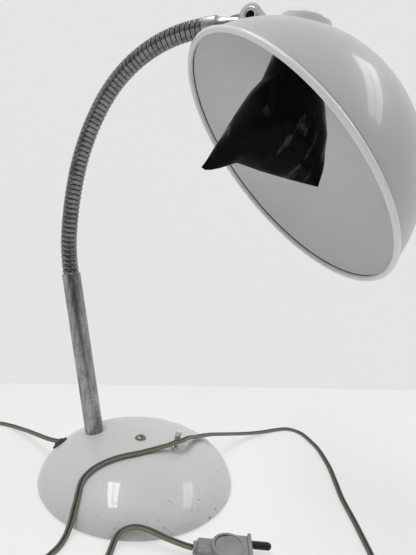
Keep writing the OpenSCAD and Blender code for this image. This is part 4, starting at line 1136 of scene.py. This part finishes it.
def build_cap(s, finish):
    """Round cap: a short skirt with a rolled edge under a flat crown, its edge rounded as
    (r cos(a)^0.6, skirt + (h - skirt) sin(a))."""
    r, h, wall, skirt, foot = s.cap_radius, s.cap_height, 1.2 * MM, 4 * MM, STRAP_UNDER
    a = np.linspace(0, math.pi / 2, 30)
    crown = np.stack([r * np.cos(a) ** 0.6, skirt + (h - skirt) * np.sin(a)], -1)
    under = np.stack([(r - wall) * np.cos(a) ** 0.6,
                      skirt + (h - skirt - wall) * np.sin(a)], -1)[::-1]
    crown[-1, 0] = under[0, 0] = 0
    profile = np.vstack([arc(r - 0.5 * MM, foot + 0.5 * MM, 0.5 * MM, -90, 0, 4), crown])
    inside = np.vstack([under, [[r - wall, foot + 0.2 * MM], [r - 0.5 * MM, foot]]])
    # The cap's paler enamel is painted light.
    make_piece("cap", [placed(holder_frame(s), turned(profile, 96)),
                       placed(holder_frame(s), turned(inside, 96))],
               [finish["bead_enamel_painted_lighter"]], "head", ("holder_cap",), crease=50)


# ---------------------------------------------------------------- shade and film

def build_shade(s, finish):
    """Spun bowl: outer and inner profile (R cos t, D sin(t)^(2/1.7)) with a rolled bead round
    the rim and a flat seat pressed in where the cap sits."""
    big, deep, bead, wall = s.shade_radius, s.shade_depth, s.bead_radius, 1.0 * MM
    low = math.radians(1)
    t = low + (math.pi / 2 - low) * np.linspace(0, 1, 96) ** 1.25

    def bowl(inset, above):
        row = np.stack(bowl_point(t, big - inset, deep - inset), -1)
        row[-1, 0] = 0
        return row[row[:, 1] > bead + above]
    outer, inner = bowl(0, 2.75 * MM), bowl(wall, 2.4 * MM)[::-1]
    # The bead's paler enamel is painted light.
    rim = arc(big + bead - 2 * MM, bead, bead, 134, 464, 34)
    # Both creases beside the bead carry dark coats, the inner one near black: painted shade.
    crease_out = [rim[-1], rim[-1] + [-0.25 * MM, 0.22 * MM], outer[0]]
    crease_in = [inner[-1], rim[0] + [0.3 * MM, 0.3 * MM], rim[0]]
    place, seat = shade_frame(s), holder_frame(s)
    coats = ("shade_enamel_painted_darker", "inner_enamel", "crease_painted_shade", "groove_dirt_and_painted_shade", "bead_enamel_painted_lighter")
    parts = []
    for profile, coat, depth in ((rim, "bead_enamel_painted_lighter", 0), (outer, "shade_enamel_painted_darker", wall),
                                 (inner, "inner_enamel", 2 * wall),
                                 (crease_out, "crease_painted_shade", 0), (crease_in, "groove_dirt_and_painted_shade", 0)):
        part = placed(place, turned(profile, 288, coats.index(coat)))
        if depth:
            part = (pressed(part[0], seat, s.cap_radius + 0.5 * MM, depth),) + part[1:]
        parts.append(part)
    make_piece("shade_bowl", parts, [finish[coat] for coat in coats], "shade", ("shade",),
               crease=60, recalc=False, weld=2e-6)


WRAP_EDGES_MM = (
    # height, left edge, right edge, half depth
    (-24, -19.0, 19.0, 19.0), (-30, -20.0, 20.5, 20.0), (-43, -22.6, 24.5, 23.5),
    (-53, -29.0, 30.0, 26.5), (-62, -33.0, 33.0, 28.8), (-72, -37.0, 36.8, 29.4),
    (-83, -41.3, 38.2, 28.0), (-92, -45.4, 40.2, 23.5), (-100, -48.9, 41.0, 17.5),
    (-106, -51.5, 40.6, 10.5), (-110.5, -53.5, 40.4, 4.5), (-112.5, -54.6, 40.3, 1.3))
WRAP_HEM_MM = ((-54.6, -116.8), (-51, -118.4), (-46, -117.2), (-39.4, -114.3), (-32, -110.0),
               (-27, -107.3), (-18, -108.3), (-7.4, -109.6), (9.2, -110.7), (25.7, -111.4),
               (34, -111.6), (40.3, -111.8))
WRAP_FOLDS_MM = (
    # from (side, height) to (side, height), height of the fold, half width
    (-28.7, -62, -20.5, -49, 1.5, 5.0), (-20.5, -49, -11.5, -43, 1.6, 5.0),
    (-11.5, -43, -6, -68, 1.3, 4.0), (-6, -68, 2.8, -85, 0.9, 4.0),
    (2.8, -85, 21, -99, 1.6, 4.0), (21, -99, 40, -113, 2.2, 4.5),
    (13, -69, 25, -79, 0.9, 2.5), (24, -100, 35, -104, 1.1, 2.5),
    (-52, -100, -36, -114, 1.9, 3.0), (-47, -96, -40, -108, 1.3, 2.5),
    (-36, -72, -50, -104, 1.2, 2.5), (-38, -103, -10, -101, 1.0, 6.0),
    (30, -60, 36, -84, 1.0, 3.0), (-20, -96, -30, -108, 1.2, 4.0))


def build_wrap(s, finish):
    """Black film bag taped round the lampholder and pinched flat below the bulb. Rows go down
    from the neck to the hem; row outline = middle + half width cos(a), half depth sin(a), with
    corners that sharpen towards the hem. Folds are ridges along lines on both faces, and
    crumples are a sum of triangle waves."""
    table = np.array(WRAP_EDGES_MM) * MM
    v = np.linspace(0, 1, 130)
    knots = np.linspace(0, 1, len(table))
    level = np.interp(v, knots, table[:, 0])
    left, right, deep = (np.interp(v, knots, table[:, i]) for i in (1, 2, 3))
    soft = np.array([1.0, 2.0, 3.0, 2.0, 1.0]) / 9
    for q in (level, left, right, deep):
        q[2:-2] = np.convolve(q, soft, "valid")
    a = np.linspace(0, TAU, 241)
    sharp = (1 + 0.55 * ease(v, 0.45, 1.0))[:, None]
    x = (left + right)[:, None] / 2 + (right - left)[:, None] / 2 * np.cos(a)
    y = deep[:, None] * np.sign(np.sin(a)) * np.abs(np.sin(a)) ** sharp
    hem = np.array(WRAP_HEM_MM) * MM
    drop = np.interp(x, hem[:, 0], hem[:, 1]) - level[-1]
    z = level[:, None] + drop * ease(v, 0.35, 1.0)[:, None]
    face = np.sign(y)
    relief = np.zeros_like(x)
    for x0, z0, x1, z1, high, wide in np.array(WRAP_FOLDS_MM) * MM:
        for side in (-1, 1):
            xs = x if side < 0 else -x - 6 * MM
            run = np.array([x1 - x0, z1 - z0])
            k = np.clip(((xs - x0) * run[0] + (z - z0) * run[1]) / (run @ run), 0, 1)
            away = np.hypot(xs - x0 - k * run[0], z - z0 - k * run[1])
            ridge = high * np.maximum(1 - away / wide, 0) * np.sin(math.pi * (0.15 + 0.7 * k))
            relief = relief + ridge * (face == side)

    def wave(p):
        return np.abs((p / math.pi) % 2 - 1) - 0.5
    u, w = x / MM, z / MM
    crumple = (0.9 * wave(0.11 * u + 0.05 * w + 1.3 * np.sin(0.05 * w + face))
               + 0.6 * wave(0.16 * w - 0.09 * u + 1.1 * np.sin(0.07 * u + 2 * face))
               + 0.3 * wave(0.37 * u + 0.21 * w + 0.8 * np.sin(0.19 * w))
               + 0.2 * wave(0.51 * w - 0.33 * u + 0.9 * np.sin(0.23 * u)))
    calm = ease(v, 0.02, 0.2)[:, None] * (1 - 0.75 * ease(v, 0.9, 1.0)[:, None])
    push = (relief + crumple * 0.9 * MM + 0.4 * MM) * calm
    y = y + face * push * np.abs(np.sin(a)) ** 0.7
    inside, pinch = (np.stack([x[:1] * 0.93, y[:1] * 0.93, z[:1] + dz], -1)
                     for dz in (-4 * MM, 0.6 * MM))
    bag = np.stack([x, y, z], -1)
    grid = np.concatenate([inside, pinch, bag, bag[-1:] * [1, 0, 1]])
    place = holder_frame(s) @ turn("Z", math.radians(18.3))
    make_piece("film_bag", [placed(place, surface(grid))], [finish["black_film"]], "head",
               ("film_wrap",), crease=22, recalc=False, weld=2e-5)


# ---------------------------------------------------------------- switch and fittings

def build_switch(s, finish):
    """Push switch: threaded bush, chamfered hexagon nut on a washer and a two-part button;
    below the dome the round bakelite body of the switch."""
    place = on_dome(*SWITCH_AT, s)
    bush, nut_h, half_flats = 4.8 * MM, 3.5 * MM, 6.3 * MM
    top = -SEAT_DROP - SHELL_T
    br = s.button_radius + 0.05 * MM
    pitch, tooth = 0.75 * MM, 0.22 * MM
    z = np.linspace(-1.5 * MM, 5.3 * MM, 90)
    thread = np.stack([bush - tooth * (0.5 - 0.5 * np.cos(z / pitch * TAU)), z], -1)
    case = [[0, top - 15 * MM], [7.2 * MM, top - 15 * MM], [7.5 * MM, top - 14.7 * MM],
            [7.5 * MM, top], [bush, top]]
    tube = [[br, 5.5 * MM], [br, top - 1.6 * MM], [0, top - 1.6 * MM]]
    make_piece("switch_case", [placed(place, turned(case, 48)),
                               placed(place, turned(np.vstack([case[-1:], thread, tube]), 64, 1))],
               [finish["brown_bakelite"], finish["bright_nickel"]], "base", ("switch_body",))

    a = np.linspace(0, TAU, 193)
    full = half_flats / np.cos((a + math.pi / 6) % (math.pi / 3) - math.pi / 6)
    hole = np.full_like(a, bush + 0.05 * MM)
    rows = [(hole, 0), (full, 0), (full, nut_h * 0.55)]
    rows += [(np.minimum(full, half_flats * (1.13 - 0.14 * k * k)), nut_h * (0.62 + 0.38 * k))
             for k in np.linspace(0, 1, 6)]
    rows += [(hole + 0.25 * MM, nut_h), (hole, nut_h - 0.25 * MM), (hole, 0)]
    washer = ring([np.array([[5.2, 0], [7.7, 0], [7.7, 0.45], [7.3, 0.9], [5.2, 1.0]]) * MM])
    seat = place @ shift(0, 0, -SEAT_DROP)
    make_piece("switch_nut_hex", [placed(seat, polar(a, rows)), placed(seat, turned(washer, 72))],
               [finish["bright_nickel"]], "base", ("switch_nut",), crease=25)

    r, h = s.button_radius, s.button_top
    flange = top - 1.65 * MM
    shaft = [[0, flange - 1.5 * MM], [r + 1.6 * MM, flange - 1.5 * MM], [r + 1.6 * MM, flange],
             [r - 0.35 * MM, flange], [r - 0.35 * MM, h - 5.2 * MM]]
    cap = np.vstack([[[r - 0.35 * MM, h - 5.2 * MM], [r, h - 4.9 * MM]],
                     arc(r - MM, h - MM, MM, 0, 80, 6), [[1.2 * MM, h + 0.02 * MM], [0, h]]])
    make_piece("push_button", [placed(place, turned(shaft, 48)),
                               placed(place, turned(cap, 48, 1))],
               [finish["button_shaft"], finish["ivory_button"]], "button", ("switch_button",))


def build_fittings(s, finish):
    """Slotted screw in the middle of the dome and the rubber grommet with its tapered nose."""
    a = np.linspace(0, math.pi / 2, 26)
    big, high, seat = 5.3 * MM, 3.2 * MM, s.base_height + 0.25 * MM
    head = np.stack([big * np.cos(a) ** 0.9, seat + (high - 0.25 * MM) * np.sin(a)], -1)
    head[-1, 0] = 0
    shank = [[0, 20 * MM], [3 * MM, 20 * MM], [3 * MM, s.base_height],
             [big - 0.3 * MM, s.base_height]]
    points, *rest = turned(np.vstack([shank, head]), 128)
    across = carry(turn("Z", math.radians(35)), points)[:, 1]
    cut = 1.1 * MM * (1 - ease(np.abs(across), 0.55 * MM, 0.8 * MM))
    floor = s.base_height + 0.3 * MM
    z = points[:, 2]
    points[:, 2] = np.where(z > floor, np.maximum(z - cut, floor), z)
    make_piece("dome_screw", [(points, *rest)], [finish["aged_screw"]], "base",
               ("centre_bolt",), recalc=False)

    hole, neck, flange = 2.9 * MM, 5.2 * MM, 8.0 * MM
    profile = ring([[[hole, -5 * MM], [neck, -5 * MM], [neck, -2.2 * MM],
                     [flange - 0.6 * MM, -2.2 * MM]],
                    arc(flange - 0.6 * MM, 0.4 * MM, 0.6 * MM, -20, 85, 6),
                    [[6.3 * MM, 1.15 * MM], [5.4 * MM, 1.6 * MM], [4.6 * MM, 2.5 * MM]],
                    arc(3.9 * MM, 2.7 * MM, 0.4 * MM, 20, 110, 4), [[hole, 2.4 * MM]]])
    make_piece("cord_grommet", [placed(on_dome(*GROMMET_AT, s), turned(profile, 72))],
               [finish["dark_rubber"]], "base", ("grommet",), crease=40)


# ---------------------------------------------------------------- plug

PLUG_AT, PLUG_TURN = (97.4 * MM, -67.5 * MM), 24.2
PIN_LEVEL = 7.5 * MM                    # height of the pins' and the cord's axis in the plug


def rounded_block(x0, x1, half, z0, z1, soft, steps=4):
    """Closed block along X with rounded long edges: a rounded rectangle carried from x0 to x1,
    drawn in at both ends by the same radius."""
    sec = np.vstack([arc(half - soft, z0 + soft, soft, -90, 0, steps),
                     arc(half - soft, z1 - soft, soft, 0, 90, steps),
                     arc(soft - half, z1 - soft, soft, 90, 180, steps),
                     arc(soft - half, z0 + soft, soft, 180, 270, steps)])
    sec = np.vstack([sec, sec[:1]])
    mid = np.array([0, (z0 + z1) / 2])
    rows = [(x0, 0.0), (x0, 1 - soft / half), (x0 + 0.35 * soft, 1 - 0.3 * soft / half),
            (x0 + soft, 1.0), (x1 - soft, 1.0), (x1 - 0.35 * soft, 1 - 0.3 * soft / half),
            (x1, 1 - soft / half), (x1, 0.0)]
    grid = np.stack([np.concatenate([np.full((len(sec), 1), x), mid + (sec - mid) * k], -1)
                     for x, k in rows])
    return surface(grid)


def build_plug(finish):
    """Two-pin plug lying flat: narrow neck, round body whose lid has a bare raised ring with
    a darker gutter beside it, square front with a flange, two round pins and a cord collar."""
    place = shift(*PLUG_AT, 0) @ turn("Z", math.radians(PLUG_TURN))
    disc_r, boss = 13.5 * MM, 26.5 * MM
    body = [placed(place, rounded_block(2 * MM, 17 * MM, 8 * MM, 0.2 * MM, 11.4 * MM, 1.6 * MM)),
            placed(place, rounded_block(boss, 43 * MM, disc_r, 0.2 * MM, 11.6 * MM, 1.2 * MM)),
            placed(place, rounded_block(42.5 * MM, 45.5 * MM, disc_r + MM, 0.1 * MM, 14.1 * MM,
                                        0.8 * MM))]
    lid_place = place @ shift(boss, 0, 0)
    drum = np.vstack([[[0, 0.2 * MM]], arc(disc_r - MM, 1.2 * MM, MM, -90, 0, 4),
                      arc(disc_r - 0.5 * MM, 11.1 * MM, 0.5 * MM, 0, 90, 4), [[0, 11.6 * MM]]])
    body.append(placed(lid_place, turned(drum, 96)))
    make_piece("plug_shell", body, [finish["grey_plug"]], "base", ("plug_body",))

    rim = np.vstack([[[0, 11.6 * MM], [disc_r - 0.2 * MM, 11.6 * MM]],
                     arc(disc_r - 0.9 * MM, 12.6 * MM, 0.9 * MM, 0, 90, 5),
                     arc(disc_r - 2.1 * MM, 13.1 * MM, 0.4 * MM, 90, 180, 3)])
    field = np.array([[disc_r - 3.3 * MM, 12.55 * MM], [disc_r - 6 * MM, 12.7 * MM],
                      [0, 12.8 * MM]])
    # gutter: a darker ring of paint beside the raised ring
    gutter = np.vstack([rim[-1:], [[disc_r - 2.8 * MM, 12.45 * MM]], field[:1]])
    front = rounded_block(boss, 42.4 * MM, disc_r - MM, 11.5 * MM, 12.9 * MM, 0.6 * MM)
    make_piece("plug_lid", [placed(lid_place, turned(rim, 96)),
                            placed(lid_place, turned(gutter, 96, 1)),
                            placed(lid_place, turned(field, 96)), placed(place, front)],
               [finish["grey_plug"], finish["plug_gutter_dark"]], "base", ("plug_cover",))

    r, tip = 3.1 * MM, 26 * MM
    pin = np.vstack([[[0, 0], [r, 0], [r, 10.5 * MM], [r - 0.25 * MM, 10.8 * MM],
                      [r - 0.25 * MM, 11.6 * MM], [r, 11.9 * MM]],
                     arc(0, tip - r, r, 0, 90, 10)])
    forward = turn("Y", math.pi / 2)
    pins = [placed(place @ shift(36.5 * MM, side * 9.5 * MM, PIN_LEVEL) @ forward,
                   turned(pin, 40)) for side in (-1, 1)]
    make_piece("plug_pin_pair", pins, [finish["black_pin"]], "base", ("plug_pins",))

    collar = ring([arc(4.5 * MM, 0.5 * MM, 0.5 * MM, -90, 0, 4),
                   arc(4.5 * MM, 2.5 * MM, 0.5 * MM, 0, 90, 4),
                   [[3.0 * MM, 3 * MM], [3.0 * MM, 0]]])
    make_piece("cord_collar",
               [placed(place @ shift(-MM, 0, PIN_LEVEL) @ forward, turned(collar, 48))],
               [finish["grey_plug"]], "base", ("plug_collar",))


CARRIED = {
    "worn_steel": ("bottom_plate", "spacer_tube", "stem_washer", "cord_clip", "switch_spring"),
    "bright_nickel": ("bolt_nut", "stem_nut", "bulb_cap", "nipple_nut"),
    "turned_brass": ("stem_nipple", "friction_washers", "holder_nipple", "thread_shell",
                     "centre_contact", "plug_screw"),
    "cast_weight": ("ballast",),
    "dark_felt": ("felt_pad",),
    "dark_rubber": ("base_lead", "coil_tie"),
    "brown_bakelite": ("holder_body",),
    "clear_glass": ("bulb_glass",),
}


def finish_carried(finish):
    """Gives each part of the frame that stays in view its finish."""
    for name, parts in CARRIED.items():
        for part in parts:
            obj = frame["nodes"][part]
            obj.data.materials.clear()
            obj.data.materials.append(finish[name])


# ---------------------------------------------------------------- operators

FINISHES = {}


def finishes(context):
    """The finishes, made once."""
    if not FINISHES:
        FINISHES.update(build_finishes(context.scene.lamp_finishes))
    return FINISHES


def choices(context):
    """The sizes and the finishes that every piece is made from."""
    return context.scene.lamp_sizes, finishes(context)


class LAMP_OT_stage(bpy.types.Operator):
    """Camera, pale table and wall, and soft light"""
    bl_idname = "lamp.stage"
    bl_label = "Stage"

    def execute(self, context):
        build_stage(finishes(context))
        return {"FINISHED"}


class LAMP_OT_plug(bpy.types.Operator):
    """Two-pin plug with its collar"""
    bl_idname = "lamp.plug"
    bl_label = "Plug"

    def execute(self, context):
        build_plug(finishes(context))
        return {"FINISHED"}


class LAMP_OT_cord(bpy.types.Operator):
    """Mains cord in one length with its coil"""
    bl_idname = "lamp.cord"
    bl_label = "Mains cord"

    def execute(self, context):
        build_cord(*choices(context))
        return {"FINISHED"}


class LAMP_OT_base(bpy.types.Operator):
    """Pressed steel dome"""
    bl_idname = "lamp.base"
    bl_label = "Base dome"

    def execute(self, context):
        build_base(*choices(context))
        return {"FINISHED"}


class LAMP_OT_stem(bpy.types.Operator):
    """Leaning tube that holds the neck"""
    bl_idname = "lamp.stem"
    bl_label = "Stem"

    def execute(self, context):
        build_stem(*choices(context))
        return {"FINISHED"}


class LAMP_OT_neck(bpy.types.Operator):
    """Thirteen lengths of interlocking wound strip"""
    bl_idname = "lamp.neck"
    bl_label = "Gooseneck"

    def execute(self, context):
        build_neck(*choices(context))
        return {"FINISHED"}


class LAMP_OT_ferrule(bpy.types.Operator):
    """Turned end of the neck with its tongue and eye"""
    bl_idname = "lamp.ferrule"
    bl_label = "Ferrule"

    def execute(self, context):
        build_ferrule(*choices(context))
        return {"FINISHED"}


class LAMP_OT_bracket(bpy.types.Operator):
    """Two-eared bracket and the hollow rivet through it"""
    bl_idname = "lamp.bracket"
    bl_label = "Bracket and rivet"

    def execute(self, context):
        build_bracket(*choices(context))
        build_rivet(*choices(context))
        return {"FINISHED"}


class LAMP_OT_cap(bpy.types.Operator):
    """Round cap over the lampholder's nut"""
    bl_idname = "lamp.cap"
    bl_label = "Cap"

    def execute(self, context):
        build_cap(*choices(context))
        return {"FINISHED"}


class LAMP_OT_shade(bpy.types.Operator):
    """Spun bowl with its rolled bead"""
    bl_idname = "lamp.shade"
    bl_label = "Shade"

    def execute(self, context):
        build_shade(*choices(context))
        return {"FINISHED"}


class LAMP_OT_wrap(bpy.types.Operator):
    """Black film over lampholder and bulb"""
    bl_idname = "lamp.wrap"
    bl_label = "Film bag"

    def execute(self, context):
        build_wrap(*choices(context))
        return {"FINISHED"}


class LAMP_OT_switch(bpy.types.Operator):
    """Push switch, its nut and its button"""
    bl_idname = "lamp.switch"
    bl_label = "Switch"

    def execute(self, context):
        build_switch(*choices(context))
        return {"FINISHED"}


class LAMP_OT_fittings(bpy.types.Operator):
    """Screw in the dome and the cord's grommet"""
    bl_idname = "lamp.fittings"
    bl_label = "Fittings"

    def execute(self, context):
        build_fittings(*choices(context))
        return {"FINISHED"}


class LAMP_OT_carried(bpy.types.Operator):
    """Finishes of the parts that the frame brings"""
    bl_idname = "lamp.carried"
    bl_label = "Carried parts"

    def execute(self, context):
        finish_carried(finishes(context))
        return {"FINISHED"}


class LAMP_PT_panel(bpy.types.Panel):
    """Lists the lamp's pieces, sizes and finishes"""
    bl_idname = "LAMP_PT_panel"
    bl_label = "Desk Lamp"
    bl_space_type = "VIEW_3D"
    bl_region_type = "UI"
    bl_category = "Desk Lamp"

    def draw(self, context):
        column = self.layout.column(align=True)
        for step in STEPS:
            column.operator(step.bl_idname)
        for group in (context.scene.lamp_sizes, context.scene.lamp_finishes):
            box = self.layout.box()
            for key in group.__annotations__:
                box.prop(group, key)


STEPS = (LAMP_OT_stage, LAMP_OT_plug, LAMP_OT_cord, LAMP_OT_base, LAMP_OT_stem, LAMP_OT_neck,
         LAMP_OT_ferrule, LAMP_OT_bracket, LAMP_OT_cap, LAMP_OT_shade, LAMP_OT_wrap,
         LAMP_OT_switch, LAMP_OT_fittings, LAMP_OT_carried)
CLASSES = (LampSizes, LampFinishes) + STEPS + (LAMP_PT_panel,)


def register():
    """Registers the classes and hangs the two property groups on the scene."""
    for cls in CLASSES:
        bpy.utils.register_class(cls)
    bpy.types.Scene.lamp_sizes = PointerProperty(type=LampSizes)
    bpy.types.Scene.lamp_finishes = PointerProperty(type=LampFinishes)


def unregister():
    """Takes them off again."""
    del bpy.types.Scene.lamp_finishes
    del bpy.types.Scene.lamp_sizes
    for cls in reversed(CLASSES):
        bpy.utils.unregister_class(cls)


def main():
    """Builds the whole lamp."""
    register()
    for step in STEPS:
        group, name = step.bl_idname.split(".")
        getattr(getattr(bpy.ops, group), name)()


if __name__ == "__main__":
    main()
